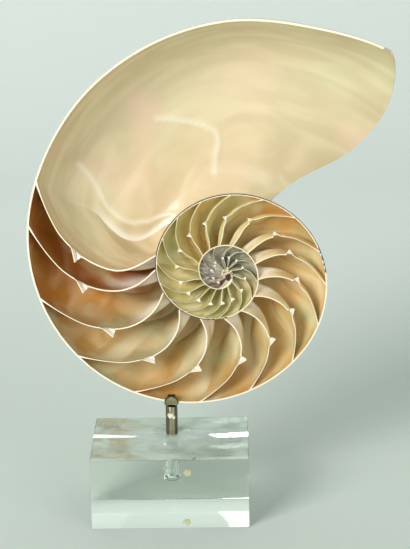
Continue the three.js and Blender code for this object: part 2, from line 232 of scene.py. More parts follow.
def place(growth, distance, depth):
    """Points, in millimetres, at a growth angle, a distance from the axis and a depth."""
    turn = np.radians(growth)
    x = AXIS_X + distance * np.cos(turn)
    z = AXIS_Z - distance * np.sin(turn)
    return np.stack(np.broadcast_arrays(x, CUT_Y + depth, z), -1)


def core_shift(growth):
    """Sideways shift of the whorl at a growth angle, as (x, 0, z)."""
    share = curve_through(CORE_SHARE, growth)[..., None]
    return share * np.array([CORE_SHIFT_X, 0.0, CORE_SHIFT_Z])


def smooth_section(controls, share):
    """Points of a section, smooth through its controls and square to the sawn face."""
    before = (controls[1][0], -controls[1][1])
    p = np.array([before, *controls, controls[-1]], float)
    p[-1] = 2 * p[-2] - p[-3]
    step = np.clip(np.asarray(share, float) * 6, 0, len(controls) - 1)
    k = np.minimum(step.astype(int), len(controls) - 2)
    u = (step - k)[..., None]
    a, b, c, d = p[k], p[k + 1], p[k + 2], p[k + 3]
    return b + 0.5 * u * (c - a + u * (2 * a - 5 * b + 4 * c - d + u * (3 * (b - c) + d - a)))


def hermite(u, start, leave, stop, arrive):
    rise = u * u * (3 - 2 * u)
    return start * (1 - rise) + stop * rise + leave * u * (1 - u) ** 2 + arrive * u * u * (u - 1)


def outside_at(radius, share, with_callus):
    """Distance and depth of a whorl's outside, on the coiling axis at AXIS_SHARE."""
    section = smooth_section((*FLANK, OUTSIDE_END), np.minimum(share, FLANK_END))
    u = np.clip((share - FLANK_END) / (AXIS_SHARE - FLANK_END), 0, 1)
    past = u > 0
    inward, deeper = UMBILICUS_SLOPE
    distance = np.where(past, hermite(u, FLANK[-1][0], inward, 0, -FLANK[-1][0]), section[..., 0])
    depth = np.where(past, hermite(u, FLANK[-1][1], deeper, UMBILICAL_DEPTH, 0), section[..., 1])
    distance, depth = distance * radius, depth * radius
    if with_callus:
        covered = DORSAL_REACH / 2
        v = np.clip((u - covered) / (1 - covered), 0, 1)
        depth = depth + (CALLUS_DEPTH - UMBILICAL_DEPTH * radius) * v * v * (3 - 2 * v)
    return distance, depth


def dorsal_share(share):
    """Where the whorl before is met: its own outside, and only a little past the flank."""
    return np.where(share > FLANK_END, FLANK_END + (share - FLANK_END) * DORSAL_REACH, share)


def dorsal_side(growth, share):
    return outside_at(keel_radius(growth), dorsal_share(share), False)


def film_share(growth):
    """How far the dark film has grown out along a whorl, 0 at its ends."""
    part = np.clip((growth - FILM_START) / (FILM_END - FILM_START), 0, 1)
    return np.sin(np.pi * part) ** FILM_FULLNESS


def wall_thickness(growth):
    return WALL_BASE + WALL_PER_RADIUS * keel_radius(growth) + FILM_BED * film_share(growth)


def inside_wall(growth, share):
    """Inner side of the outer wall."""
    controls = (*FLANK, INSIDE_END)
    section = smooth_section(controls, share)
    ahead = smooth_section(controls, np.minimum(share + SECTION_STEP, 1))
    behind = smooth_section(controls, np.maximum(share - SECTION_STEP, 0))
    along = ahead - behind
    along /= np.linalg.norm(along, axis=-1, keepdims=True)
    flat = np.asarray(share) < 1e-9
    normal_x = np.where(flat, -1, -along[..., 1])
    normal_y = np.where(flat, 0, along[..., 0])
    radius = keel_radius(growth)
    wall = wall_thickness(growth)
    return section[..., 0] * radius + normal_x * wall, section[..., 1] * radius + normal_y * wall


def siphon_radius(growth, across):
    return keel_radius(growth - WHORL) * (1 - across) + keel_radius(growth) * across


def between(value, low, high, ease):
    """1 between two values and 0 beyond them, with a fade inside each."""
    return np.clip((value - low) / ease, 0, 1) * np.clip((high - value) / ease, 0, 1)


def septum_lag(index, across, share):
    """Degrees between a septum and its outer edge on the sawn face, negative behind that edge."""
    inner_edge = float(curve_through(INNER_EDGE, SEPTUM_ANGLES[index]))

    def lag_on_cut(spot):
        inner = -DEEPEST_LAG + (inner_edge + DEEPEST_LAG) * curve_through(SEPTUM_INNER, spot)
        return np.where(spot < SEPTUM_DEEPEST, inner, curve_through(SEPTUM_OUTER, spot))

    soft = SEPTUM_SOFTENING * between(across, SOFT_FROM, SOFT_TO, SOFT_EASE)
    on_cut = sum(lag_on_cut(across + soft * step) for step in (-1, -0.5, 0, 0.5, 1)) / 5
    on_cut = on_cut - DEEPER.get(index, 0) * np.exp(-(((across - DEEPER_AT) / DEEPER_WIDTH) ** 2))
    straight = inner_edge * (1 - across)
    outer_sag, inner_sag = curve_through(SUTURE, share), curve_through(INNER_SUTURE, share)
    sag = outer_sag * across + inner_sag * (1 - across)
    return straight + (on_cut - straight) * (1 - SEPTUM_FLATTENING * share**2) + sag


def septum_angle(index, across, share, side):
    """Growth angle of a septum's face, with side -1 behind, 1 in front and 0 halfway."""
    angle = SEPTUM_ANGLES[index] + DEEPEST_LAG + septum_lag(index, across, share)
    thickness = SEPTUM_BASE + SEPTUM_PER_RADIUS * keel_radius(angle)
    half_turn = np.degrees(thickness / 2 / siphon_radius(angle, across))
    root = np.clip((across - ROOT_START) / (1 - ROOT_START), 0, 1) ** 2
    root *= ROOT_BEHIND if side < 0 else ROOT_IN_FRONT
    return angle + side * half_turn * (1 + SEPTUM_UMBILICAL * share * share + root)


def within(growth, share, across):
    """Points of a whorl's hollow, between the whorl before and the inside of its own wall."""
    outer = inside_wall(growth, share)
    inner = dorsal_side(growth - WHORL, share)
    distance = inner[0] * (1 - across) + outer[0] * across
    depth = inner[1] * (1 - across) + outer[1] * across
    points = place(growth, distance, depth)
    mix = np.broadcast_to(across, points.shape[:-1])[..., None]
    return points + core_shift(growth - WHORL) * (1 - mix) + core_shift(growth) * mix


class Sheets:
    """Grids of points that share their borders, gathered into one closed mesh."""

    def __init__(self):
        self.points, self.marks, self.faces, self.kinds, self.ridge_highlights = [], [], [], [], []
        self.count = 0

    def grid(self, points, kind, growth, share, across, skip=None, mark=0.0):
        n, m = points.shape[:2]
        # The mark is the painted highlight of each point, kept for the body chamber's colour
        self.ridge_highlights.append(np.broadcast_to(mark, (n, m)).ravel())
        marks = np.stack(np.broadcast_arrays(growth / WHORL, share, across), -1)
        marks = np.broadcast_to(marks, points.shape).reshape(-1, 3)
        index = np.arange(n * m).reshape(n, m) + self.count
        quads = np.stack([index[:-1, :-1], index[1:, :-1], index[1:, 1:], index[:-1, 1:]], -1)
        if skip is not None:
            keep = np.ones(quads.shape[:2], bool)
            keep[skip] = False
            quads = quads[keep]
        quads = quads.reshape(-1, 4)
        self.points.append(points.reshape(-1, 3))
        self.marks.append(marks)
        self.faces.append(quads)
        self.kinds += [KINDS.index(kind)] * len(quads)
        self.count += n * m


def ramp(start, stop, count):
    return np.linspace(start, stop, count + 1)


def across_samples(neck, inner, outer):
    """Shares across a chamber, close-set around the siphon."""
    middle = float(curve_through(SIPHON, neck))
    half = CLOSE_HALF_ACROSS + CLEAR_OF_NECK / float(keel_radius(neck))
    low, high = middle - half, middle + half
    close = ramp(low, high, CLOSE_ACROSS)
    return np.concatenate([ramp(0, low, inner)[:-1], close, ramp(high, 1, outer)[1:]])


def share_samples(neck, rest):
    """Shares of the section, close-set near the sawn face."""
    reach = CLOSE_SHARE + CLEAR_OF_NECK / float(keel_radius(neck))
    return np.concatenate([ramp(0, reach, CLOSE_DEEP)[:-1], ramp(reach, 1, rest)])


def linear(pair, scale):
    return pair[0] + pair[1] * scale


def neck_frame(index):
    """Centre of a neck's mouth, its axis, its outward direction, its scale and its length."""
    neck = SEPTUM_ANGLES[index]
    across = float(curve_through(SIPHON, neck))
    mouth_angle = float(septum_angle(index, across, 0.0, 0))
    scale = float(siphon_radius(mouth_angle, across))
    length = linear(NECK_LENGTH, scale)
    tip_angle = mouth_angle - math.degrees(length / scale)
    mouth = within(mouth_angle, np.float64(0.0), across)
    tip = within(tip_angle, np.float64(0.0), across)
    axis = (tip - mouth) / float(np.linalg.norm(tip - mouth))
    outward = np.array([axis[2], 0.0, -axis[0]])
    if outward @ (mouth - np.array([AXIS_X, CUT_Y, AXIS_Z])) < 0:
        outward = -outward
    return mouth, axis, outward, scale, length


def neck_sheet(sheets, index, side, border_across, border_share, growth):
    """Funnel from a septum's face down its siphon neck. Returns the ring at the tip."""
    mouth, axis, outward, scale, length = neck_frame(index)
    middle = float(curve_through(SIPHON, SEPTUM_ANGLES[index]))
    behind = side < 0
    thick = linear(NECK_WALL, scale) if behind else 0.0
    mouth_radius = linear(NECK_MOUTH, scale) + thick
    tip_radius = linear(NECK_TIP, scale) + thick

    def on_septum(part):
        across, share = middle + (border_across - middle) * part, border_share * part
        return within(septum_angle(index, across, share, side), share, across)

    border = on_septum(1.0)
    local = border - mouth
    start = np.arctan2(local[:, 1], local @ outward)
    reach = np.hypot(local[:, 1], local @ outward)
    even = np.linspace(math.pi, 0, len(border))
    flute = FLUTE_DEPTH * np.cos(2 * FLUTES * even)
    round_side = 0.5 + 0.5 * np.cos(even)
    fillet = linear(NECK_FILLET, scale) * (FILLET_LEAST + FILLET_MORE * round_side)
    fillet *= FILLET_BEHIND if behind else 1
    foot = mouth_radius + fillet
    rows = [on_septum(1 - part * (1 - foot / reach)) for part in (0.0, 0.3, 0.55, 0.8)]
    foot_down = (on_septum(foot / reach) - mouth) @ axis
    face = -side * (SEPTUM_BASE + SEPTUM_PER_RADIUS * scale) / 2
    slope = (foot_down - face) / foot

    def ring(blend, radius, down):
        angle = start * (1 - blend) + even * blend
        turn = np.outer(radius * np.cos(angle), outward)
        rows.append(mouth + turn + np.outer(radius * np.sin(angle), [0, 1, 0]) + np.outer(down, axis))

    ring(0.7, foot, foot_down)
    for turn in (0.35, 0.7, 1.0):
        bend = turn * math.pi / 2
        radius = foot - fillet * math.sin(bend)
        down = foot_down + slope * (radius - foot) + fillet * (1 - math.cos(bend))
        ring(1, radius * (1 + flute * turn * FLUTE_AT_MOUTH), down)
    rim = face + slope * mouth_radius + fillet
    for k in range(1, TUBE_RINGS + 1):
        part = k / TUBE_RINGS
        radius = mouth_radius + (tip_radius - mouth_radius) * part * (1.6 - 0.6 * part)
        reach_down = length * (1 + NECK_SLANT * np.cos(even))
        fluted = FLUTE_AT_MOUTH + (1 - FLUTE_AT_MOUTH) * part * (2 - 2 * part)
        ring(1, radius * (1 + flute * fluted), rim + (reach_down - rim) * part)
    points = np.array(rows)
    points[:, 0, 1] = CUT_Y
    points[:, -1, 1] = CUT_Y
    kind = "body" if index == 0 and side > 0 else "chamber"
    sheets.grid(points[:NECK_FROM_RING + 1], kind, growth, 0.05, middle)
    around = (even / math.pi)[None, :]
    down = np.linspace(0, 1, len(points) - NECK_FROM_RING)[:, None]
    sheets.grid(points[NECK_FROM_RING:], "neck", growth, around, down)
    return points[-1]


def septum_face(sheets, index, side, acrosses, shares, inner):
    """One face of a septum: a grid with a gap in it, and the funnel that fills the gap."""
    a, s = np.meshgrid(acrosses, shares, indexing="ij")
    t = septum_angle(index, a, s, side)
    points = within(t, s, a)
    low, high, deep = inner, inner + CLOSE_ACROSS, CLOSE_DEEP
    kind = "body" if index == 0 and side > 0 else "chamber"
    sheets.grid(points, kind, t, s, a, skip=(slice(low, high), slice(0, deep)))
    border_across, border_share = (
        np.concatenate([m[low, :deep], m[low:high, deep], m[high, deep::-1]]) for m in (a, s))
    return neck_sheet(sheets, index, side, border_across, border_share, float(t[low, 0]))


def raise_ridges(points, growth, share, height):
    """Lifts the low ridges off the chamber's wall. Returns the points and the painted highlight of each:
    along the ridges, and on a line just in front of the newest septum.
    """
    ridge = []
    for line in RIDGES:
        knots = np.array(line)
        step = np.linspace(0, len(knots) - 1, 12 * len(knots))
        turn = np.interp(step, np.arange(len(knots)), knots[:, 0])
        spot = np.interp(step, np.arange(len(knots)), knots[:, 1])
        ridge.append(within(turn, spot, np.ones_like(turn)))
    ridge = np.concatenate(ridge)
    flat = points.reshape(-1, 3)
    near = np.concatenate([
        np.linalg.norm(part[:, None] - ridge[None], axis=2).min(axis=1)
        for part in np.array_split(flat, 20)
    ]).reshape(points.shape[:2])
    lift = np.exp(-((near / RIDGE_WIDTH) ** 2))
    normal = np.cross(np.gradient(points, axis=0), np.gradient(points, axis=1))
    normal /= np.maximum(np.linalg.norm(normal, axis=2, keepdims=True), 1e-9)
    to_axis = np.array([AXIS_X, CUT_Y, AXIS_Z]) - points
    inward = np.sign(np.sum(normal * to_axis, axis=2, keepdims=True))
    raised = points + normal * inward * (height * lift)[..., None]
    # Painted highlight on the rounded junction just in front of the newest septum
    ahead = growth - septum_angle(0, 1.0, share, 1) - SUTURE_HIGHLIGHT_AHEAD
    painted_highlight = np.exp(-((ahead / np.where(ahead > 0, SUTURE_HIGHLIGHT_WIDTH, SUTURE_HIGHLIGHT_WIDTH / 3)) ** 2))
    painted_highlight *= between(share, SUTURE_HIGHLIGHT_FROM, SUTURE_HIGHLIGHT_TO, SUTURE_HIGHLIGHT_EASE)
    return raised, np.maximum(lift * RIDGE_HIGHLIGHT, painted_highlight)


def chamber_walls(sheets, kind, rear, front, rear_across, front_across, shares, steps, ridge=0.0):
    """Outer wall, dorsal side and umbilical seam of one chamber, between two growth angles."""
    u = ramp(0, 1, steps)[:, None]
    s = shares[None, :]
    for across in (1.0, 0.0):
        one = np.full_like(s, across)
        t = rear(one, s) * (1 - u) + front(one, s) * u
        share = np.broadcast_to(s, t.shape)
        points = within(t, share, np.full_like(t, across))
        # The mark is the painted highlight on the body chamber's ridges, none elsewhere
        mark = np.zeros_like(t)
        if kind == "body" and across:
            points, mark = raise_ridges(points, t, share, ridge)
        shown = t if kind == "body" else t[:, :1]
        sheets.grid(points, kind, shown, share, across, mark=mark)
    a = rear_across[None, :] * (1 - u) + front_across[None, :] * u
    start = rear(rear_across, np.ones_like(rear_across))[None, :]
    stop = front(front_across, np.ones_like(front_across))[None, :]
    t = start * (1 - u) + stop * u
    sheets.grid(within(t, np.ones_like(t), a), kind, t, 1.0, a)


def lip_angle(share):
    return curve_through(LIP, share) - LIP_INSET


def outside_sheet(sheets, shares, turns, tail_steps):
    """Outside of the last whorl, with the callus that closes its umbilicus."""
    end = FLANK_END + (1 - FLANK_END) * DORSAL_REACH
    tail = ramp(end, AXIS_SHARE, tail_steps)[1:]
    s = np.concatenate([dorsal_share(shares), tail])[None, :]
    lip = np.concatenate([lip_angle(shares), np.full(tail_steps, float(LIP[-1][1]))])[None, :]
    u = ramp(0, 1, turns)[:, None]
    t = lip - WHORL + WHORL * u
    share = np.broadcast_to(s, t.shape)
    distance, depth = outside_at(keel_radius(t), share, True)
    points = place(t, distance, depth)
    points[:, -1] = (AXIS_X, CUT_Y + CALLUS_DEPTH, AXIS_Z)
    sheets.grid(points, "outside", t, share, 1.0)
    return points


def lip_sheet(sheets, inside, outside):
    """Edge of the aperture, between the wall's two sides."""
    middle = (inside + outside) / 2
    middle[0, 1] = CUT_Y
    sheets.grid(np.array([inside, middle, outside]), "lip", float(LIP[1][1]), 0.0, 1.0)


def whole_shell(ridge_height):
    """Every sheet of the shell half but the sawn face."""
    sheets = Sheets()
    tips = {}

    def face(index, side, acrosses, shares, inner):
        ring = septum_face(sheets, index, side, acrosses, shares, inner)
        if index in tips:
            pair = [tips[index], ring] if side < 0 else [ring, tips[index]]
            sheets.grid(np.array(pair), "neck", float(SEPTUM_ANGLES[index]), 0.05, 0.5)
        tips[index] = ring

    def angles(index, side):
        return lambda a, s: septum_angle(index, a, s, side)

    inner, outer, rest, steps = BODY_CELLS
    acrosses = across_samples(SEPTUM_ANGLES[0], inner, outer)
    shares = share_samples(SEPTUM_ANGLES[0], rest)
    face(0, 1, acrosses, shares, inner)
    chamber_walls(sheets, "body", angles(0, 1), lambda a, s: lip_angle(s) + 0 * a, acrosses,
                  acrosses, shares, steps, ridge_height)
    lip = lip_angle(shares)
    outside = outside_sheet(sheets, shares, OUTSIDE_TURNS, CALLUS_CELLS)
    lip_sheet(sheets, within(lip, shares, np.ones_like(shares)), outside[-1, :len(shares)])
    for index in range(len(SEPTUM_ANGLES)):
        small = SEPTUM_ANGLES[index] < SMALL_SEPTA
        inner, outer, rest, steps = SMALL_CELLS if small else LARGE_CELLS
        shares = share_samples(SEPTUM_ANGLES[index], rest)
        front_across = across_samples(SEPTUM_ANGLES[index], inner, outer)
        face(index, -1, front_across, shares, inner)
        if index + 1 < len(SEPTUM_ANGLES):
            rear_across = across_samples(SEPTUM_ANGLES[index + 1], inner, outer)
            face(index + 1, 1, rear_across, shares, inner)
            rear = angles(index + 1, 1)
        else:
            rear_across = front_across
            rear = first_end
            a, s = np.meshgrid(rear_across, shares, indexing="ij")
            sheets.grid(within(rear(a, s), s, a), "chamber", rear(a, s), s, a)
        chamber_walls(sheets, "chamber", rear, angles(index, -1), rear_across, front_across,
                      shares, steps)
    return sheets


def first_end(across, share):
    """Rounded blind end of the first chamber."""
    bulge = np.sin(np.pi * across) * np.cos(np.pi / 2 * share)
    return FIRST_CHAMBER_END - FIRST_END_BULGE * bulge


def film_line(width):
    """Inner border of the dark film on the sawn edge of the inner whorl."""
    growth = np.arange(FILM_START, FILM_END, FILM_STEP)
    radius = keel_radius(growth) - width * film_share(growth) - FILM_INSET
    return place(growth, radius, 0.0)


def open_edges(bm, in_cut):
    """Open edges that lie in the sawn face, or those that don't."""
    level = (CUT_Y + CUT_TOLERANCE) * MM
    return [e for e in bm.edges
            if e.is_boundary and (max(v.co.y for v in e.verts) < level) == in_cut]


def septum_roots(flat):
    """Pairs of points that part each septum from the whorl that it stands on."""
    roots = []
    for index in range(len(SEPTUM_ANGLES)):
        ends = []
        for side in (-1, 1):
            t = septum_angle(index, 0.0, 0.0, side)
            spot = within(t, np.float64(0.0), 0.0)[[0, 2]]
            ends.append(int(np.argmin(np.hypot(*(flat - spot).T))))
        roots.append(tuple(ends))
    return roots


def inside_outline(spots, starts, stops):
    """Which spots an outline of edges holds: a ray from them crosses it an odd number of times."""
    inside = np.zeros(len(spots), bool)
    for part in np.array_split(np.arange(len(spots)), 24):
        x, z = spots[part, 0][:, None], spots[part, 1][:, None]
        straddle = (starts[:, 1] > z) != (stops[:, 1] > z)
        with np.errstate(divide="ignore", invalid="ignore"):
            along = (z - starts[:, 1]) / (stops[:, 1] - starts[:, 1])
            cross = starts[:, 0] + along * (stops[:, 0] - starts[:, 0])
        inside[part] = (straddle & (x < cross)).sum(axis=1) % 2 == 1
    return inside


def cut_kind_and_place(away, film_width):
    """Material of a spot of the sawn face, its place on the shell where it isn't on a septum, and
    its turn around the axis."""
    distance = math.hypot(*away)
    turn = math.degrees(math.atan2(-away[1], away[0])) % WHORL
    growth = turn + WHORL * np.arange(3)
    keel = keel_radius(growth)
    outer = distance < keel + KEEL_TOLERANCE
    film = outer & (distance > keel - film_width) & (growth > FILM_START) & (growth < FILM_END)
    wall = outer & (distance > keel - wall_thickness(growth) - WALL_TOLERANCE)
    kind = KINDS.index("film" if film.any() else "edge")
    if math.hypot(*(away - (CORE_SHIFT_X, CORE_SHIFT_Z))) < CORE_RADIUS:
        return kind, (0, 0, 1), turn
    if wall.any():
        return kind, (growth[wall][0] / WHORL, 0, 1), turn
    return kind, None, turn


def sawn_face(bm, film_width):
    """Closes the mesh with the flat sawn face. Its triangles take their kind from where they are."""
    border = open_edges(bm, True)
    verts = list(dict.fromkeys(v for e in border for v in e.verts))
    order = {v: k for k, v in enumerate(verts)}
    layer = bm.loops.layers.float_vector[PLACE_NAME]
    known = {v: v.link_loops[0][layer].copy() for v in verts}
    outline = np.array([tuple(order[v] for v in e.verts) for e in border])
    flat = np.array([(v.co.x, v.co.z) for v in verts]) / MM
    film = film_line(film_width)[:, [0, 2]]
    start = len(verts)
    edges = [tuple(pair) for pair in outline.tolist()] + septum_roots(flat)
    edges += [(start + k, start + k + 1) for k in range(len(film) - 1)]
    verts += [bm.verts.new((x * MM, CUT_Y * MM, z * MM)) for x, z in film]
    flat = np.concatenate([flat, film])
    result = delaunay_2d_cdt([Vector(p) for p in flat], edges, [], 0, 1e-7)
    found, _, triangles, originals = result[:4]
    centres = np.array([tuple(p) for p in found])[np.array(triangles)].mean(axis=1)
    inside = inside_outline(centres, flat[outline[:, 0]], flat[outline[:, 1]])
    for k in np.nonzero(inside)[0]:
        if any(not originals[c] for c in triangles[k]):
            continue
        corners = [verts[originals[c][0]] for c in triangles[k]]
        if len(set(corners)) < 3:
            continue
        kind, mark, turn = cut_kind_and_place(centres[k] - (AXIS_X, AXIS_Z), film_width)
        new = bm.faces.new(corners)
        new.material_index = kind
        new.smooth = False
        for loop in new.loops:
            loop[layer] = mark or known.get(loop.vert, (turn / WHORL + 1, 0, 1))


def shell_mesh(name, ridge_height, film_width):
    """The whole shell half as one closed mesh, with its places and the painted highlight of its ridges
    kept for the colours.
    """
    sheets = whole_shell(ridge_height)
    points = np.concatenate(sheets.points) * MM
    marks = np.concatenate(sheets.marks)
    faces = np.concatenate(sheets.faces)
    mesh = bpy.data.meshes.new(name)
    mesh.from_pydata(points.tolist(), [], faces.tolist())
    mesh.polygons.foreach_set("material_index", np.array(sheets.kinds, np.int32))
    mesh.polygons.foreach_set("use_smooth", np.ones(len(faces), bool))
    layer = mesh.attributes.new(PLACE_NAME, "FLOAT_VECTOR", "CORNER")
    corners = np.zeros(len(mesh.loops), np.int32)
    mesh.loops.foreach_get("vertex_index", corners)
    layer.data.foreach_set("vector", marks[corners].astype(np.float32).ravel())
    ridge_highlights = mesh.attributes.new(RIDGE_HIGHLIGHT_NAME, "FLOAT", "CORNER")
    ridge_highlights.data.foreach_set("value", np.concatenate(sheets.ridge_highlights)[corners].astype(np.float32))
    bm = bmesh.new()
    bm.from_mesh(mesh)
    bmesh.ops.remove_doubles(bm, verts=bm.verts, dist=MERGE_GAP)
    bmesh.ops.dissolve_degenerate(bm, edges=bm.edges, dist=SHORTEST_EDGE)
    loose = open_edges(bm, False)
    filled = bmesh.ops.triangle_fill(bm, use_beauty=True, use_dissolve=False, edges=loose)
    for new in filled["geom"]:
        if isinstance(new, bmesh.types.BMFace):
            new.material_index = KINDS.index("lip")
    sawn_face(bm, film_width)
    bmesh.ops.recalc_face_normals(bm, faces=bm.faces)
    bm.to_mesh(mesh)
    bm.free()
    mesh.set_sharp_from_angle(angle=math.radians(SHELL_SHARP_ANGLE))
    return mesh


# Shader helpers

FLOAT, COLOUR, VECTOR = "NodeSocketFloat", "NodeSocketColor", "NodeSocketVector"


class Nodes:
    """A node tree that is filled one node at a time."""

    def __init__(self, tree):
        self.tree = tree

    def add(self, kind, values=None, **settings):
        node = self.tree.nodes.new(kind)
        for name, value in settings.items():
            setattr(node, name, value)
        for name, value in (values or {}).items():
            self.feed(node.inputs[name], value)
        return node

    def feed(self, socket, value):
        if isinstance(value, bpy.types.NodeSocket):
            self.tree.links.new(value, socket)
        else:
            socket.default_value = value

    def math(self, operation, a, b=0.0, clamp=False):
        return self.add("ShaderNodeMath", {0: a, 1: b}, operation=operation, use_clamp=clamp).outputs[0]

    def times(self, a, b):
        return self.math("MULTIPLY", a, b)

    def plus(self, a, b):
        return self.math("ADD", a, b)

    def spot(self):
        """Place in the object's own frame, in metres."""
        return self.add("ShaderNodeTexCoord").outputs["Object"]

    def parts(self, vector):
        return self.add("ShaderNodeSeparateXYZ", {0: vector}).outputs

    def moved(self, vector, shift):
        return self.add("ShaderNodeVectorMath", {0: vector, 1: shift}, operation="ADD").outputs[0]

    def distance(self, a, b):
        node = self.add("ShaderNodeVectorMath", {0: a, 1: b}, operation="DISTANCE")
        return node.outputs["Value"]

    def stretched(self, vector, scale):
        return self.add("ShaderNodeMapping", {"Vector": vector, "Scale": scale}).outputs[0]

    def mix(self, fac, a, b):
        node = self.add("ShaderNodeMix", data_type="RGBA")
        self.feed(node.inputs[0], fac)
        self.feed(node.inputs[6], a)
        self.feed(node.inputs[7], b)
        return node.outputs[2]

    def ramp(self, fac, stops):
        node = self.add("ShaderNodeValToRGB", {"Fac": fac})
        elements = node.color_ramp.elements
        while len(elements) < len(stops):
            elements.new(0.5)
        for element, (position, colour) in zip(elements, stops):
            element.position = position
            element.color = colour
        return node.outputs["Color"]

    def span(self, value, low, high, new_low=0.0, new_high=1.0, smooth=True):
        node = self.add("ShaderNodeMapRange", {0: value, 1: low, 2: high, 3: new_low, 4: new_high})
        node.interpolation_type = "SMOOTHSTEP" if smooth else "LINEAR"
        return node.outputs[0]

    def noise(self, vector, scale, detail=3.0, roughness=0.5, distortion=0.0):
        node = self.add("ShaderNodeTexNoise", {
            "Vector": vector, "Scale": scale, "Detail": detail, "Roughness": roughness,
            "Distortion": distortion})
        return node.outputs["Fac"]


def srgb(red, green, blue):
    """Linear colour of an 8-bit colour as it is seen."""
    def linear_part(value):
        value /= 255
        return value / 12.92 if value <= 0.04045 else ((value + 0.055) / 1.055) ** 2.4
    return (linear_part(red), linear_part(green), linear_part(blue), 1.0)


def along_growth(nodes, growth, stops):
    """Colour ramp whose stops are given as growth in whorls."""
    low, high = stops[0][0], stops[-1][0]
    fac = nodes.span(growth, low, high, smooth=False)
    return nodes.ramp(fac, [((spot - low) / (high - low), colour) for spot, colour in stops])


def node_group(name, inputs, outputs):
    """Empty shader group with (name, socket type, default) inputs and (name, type) outputs."""
    tree = bpy.data.node_groups.new(name, "ShaderNodeTree")
    for label, kind, default in inputs:
        socket = tree.interface.new_socket(label, in_out="INPUT", socket_type=kind)
        socket.default_value = default
    for label, kind in outputs:
        tree.interface.new_socket(label, in_out="OUTPUT", socket_type=kind)
    nodes = Nodes(tree)
    return nodes, nodes.add("NodeGroupInput").outputs, nodes.add("NodeGroupOutput").inputs


def clouds_group():
    """Soft patches of two other tints over a base colour."""
    nodes, given, out = node_group("pearl_clouds", (
        ("Base", COLOUR, (0.8, 0.7, 0.6, 1)), ("Rose", COLOUR, (0.9, 0.6, 0.5, 1)),
        ("Green", COLOUR, (0.7, 0.8, 0.6, 1)), ("Scale", FLOAT, 30.0), ("Strength", FLOAT, 0.4),
    ), (("Color", COLOUR),))
    spot = nodes.spot()
    rose = nodes.span(nodes.noise(spot, given["Scale"], 2.0, 0.5, 0.6), 0.45, 0.72)
    shifted = nodes.moved(spot, (3.1, 1.7, 5.3))
    green = nodes.span(nodes.noise(shifted, given["Scale"], 2.0, 0.5, 0.8), 0.48, 0.75)
    colour = nodes.mix(nodes.times(rose, given["Strength"]), given["Base"], given["Rose"])
    colour = nodes.mix(nodes.times(green, given["Strength"]), colour, given["Green"])
    nodes.feed(out["Color"], colour)
    return nodes.tree


def bands_group():
    """Noise drawn out along the shell's own growth, its section and the width of a chamber."""
    nodes, given, out = node_group("growth_bands", (
        ("Along", FLOAT, 60.0), ("Round", FLOAT, 2.0), ("Across", FLOAT, 2.0), ("Warp", FLOAT, 0.6),
        ("Seed", FLOAT, 0.0),
    ), (("Fac", FLOAT),))
    growth, share, across = shell_place(nodes)
    band = nodes.add("ShaderNodeCombineXYZ", {
        0: nodes.times(growth, given["Along"]),
        1: nodes.times(share, given["Round"]),
        2: nodes.plus(nodes.times(across, given["Across"]), given["Seed"]),
    }).outputs[0]
    nodes.feed(out["Fac"], nodes.noise(band, 1.0, 1.5, 0.5, given["Warp"]))
    return nodes.tree


def relief_group():
    """Height of fine and coarse unevenness."""
    nodes, given, out = node_group("fine_relief", (
        ("Scale", FLOAT, 600.0), ("Coarse", FLOAT, 90.0), ("Coarse Share", FLOAT, 0.5),
    ), (("Height", FLOAT),))
    spot = nodes.spot()
    fine = nodes.noise(spot, given["Scale"], 3.0, 0.6)
    coarse = nodes.noise(spot, given["Coarse"], 2.0, 0.5)
    height = nodes.plus(nodes.times(coarse, given["Coarse Share"]), fine)
    nodes.feed(out["Height"], height)
    return nodes.tree


def bright_marks_group():
    """Mask of small bright marks around one spot, ragged at their edges."""
    nodes, given, out = node_group("bright_marks", (
        ("Centre", VECTOR, (0.0, 0.0, 0.0)), ("Reach", FLOAT, 0.002), ("Scale", FLOAT, 900.0),
    ), (("Mask", FLOAT),))
    spot = nodes.spot()
    away = nodes.math("DIVIDE", nodes.distance(spot, given["Centre"]), given["Reach"])
    near = nodes.math("SUBTRACT", 1.0, away, True)
    ragged = nodes.times(near, nodes.noise(spot, given["Scale"], 2.0, 0.6))
    nodes.feed(out["Mask"], nodes.span(ragged, 0.2, 0.3))
    return nodes.tree


GROUPS = {"clouds": clouds_group, "bands": bands_group, "relief": relief_group, "bright_spots": bright_marks_group}


def shared_group(name):
    """The shader group of that name, built the first time that a material asks for it."""
    made = GROUPS[name]
    if callable(made):
        made = GROUPS[name] = made()
    return made


def material(name, **values):
    """New material. Returns it with its nodes and its shader, whose plain values are set."""
    made = bpy.data.materials.new(name)
    made.use_nodes = True
    nodes = Nodes(made.node_tree)
    shader = made.node_tree.nodes["Principled BSDF"]
    for key, value in values.items():
        shader.inputs[key.replace("_", " ")].default_value = value
    return made, nodes, shader


def use(nodes, name, **values):
    """Places a shared group and returns its first output."""
    node = nodes.add("ShaderNodeGroup", node_tree=shared_group(name))
    for key, value in values.items():
        nodes.feed(node.inputs[key.replace("_", " ")], value)
    return node.outputs[0]


def clouded(nodes, base, rose, green, scale, strength):
    return use(nodes, "clouds", Base=base, Rose=rose, Green=green, Scale=scale, Strength=strength)


def dress(nodes, shader, tone, height, strength, distance):
    """Gives a shader its colour, and its relief with a strength and a depth in metres."""
    nodes.feed(shader.inputs["Base Color"], tone)
    bump = nodes.add("ShaderNodeBump", {"Height": height, "Strength": strength, "Distance": distance})
    nodes.feed(shader.inputs["Normal"], bump.outputs["Normal"])


def shell_place(nodes):
    """Growth in whorls, share of the section and share across, from the mesh."""
    spot = nodes.add("ShaderNodeAttribute", attribute_name=PLACE_NAME).outputs["Vector"]
    return nodes.parts(spot)


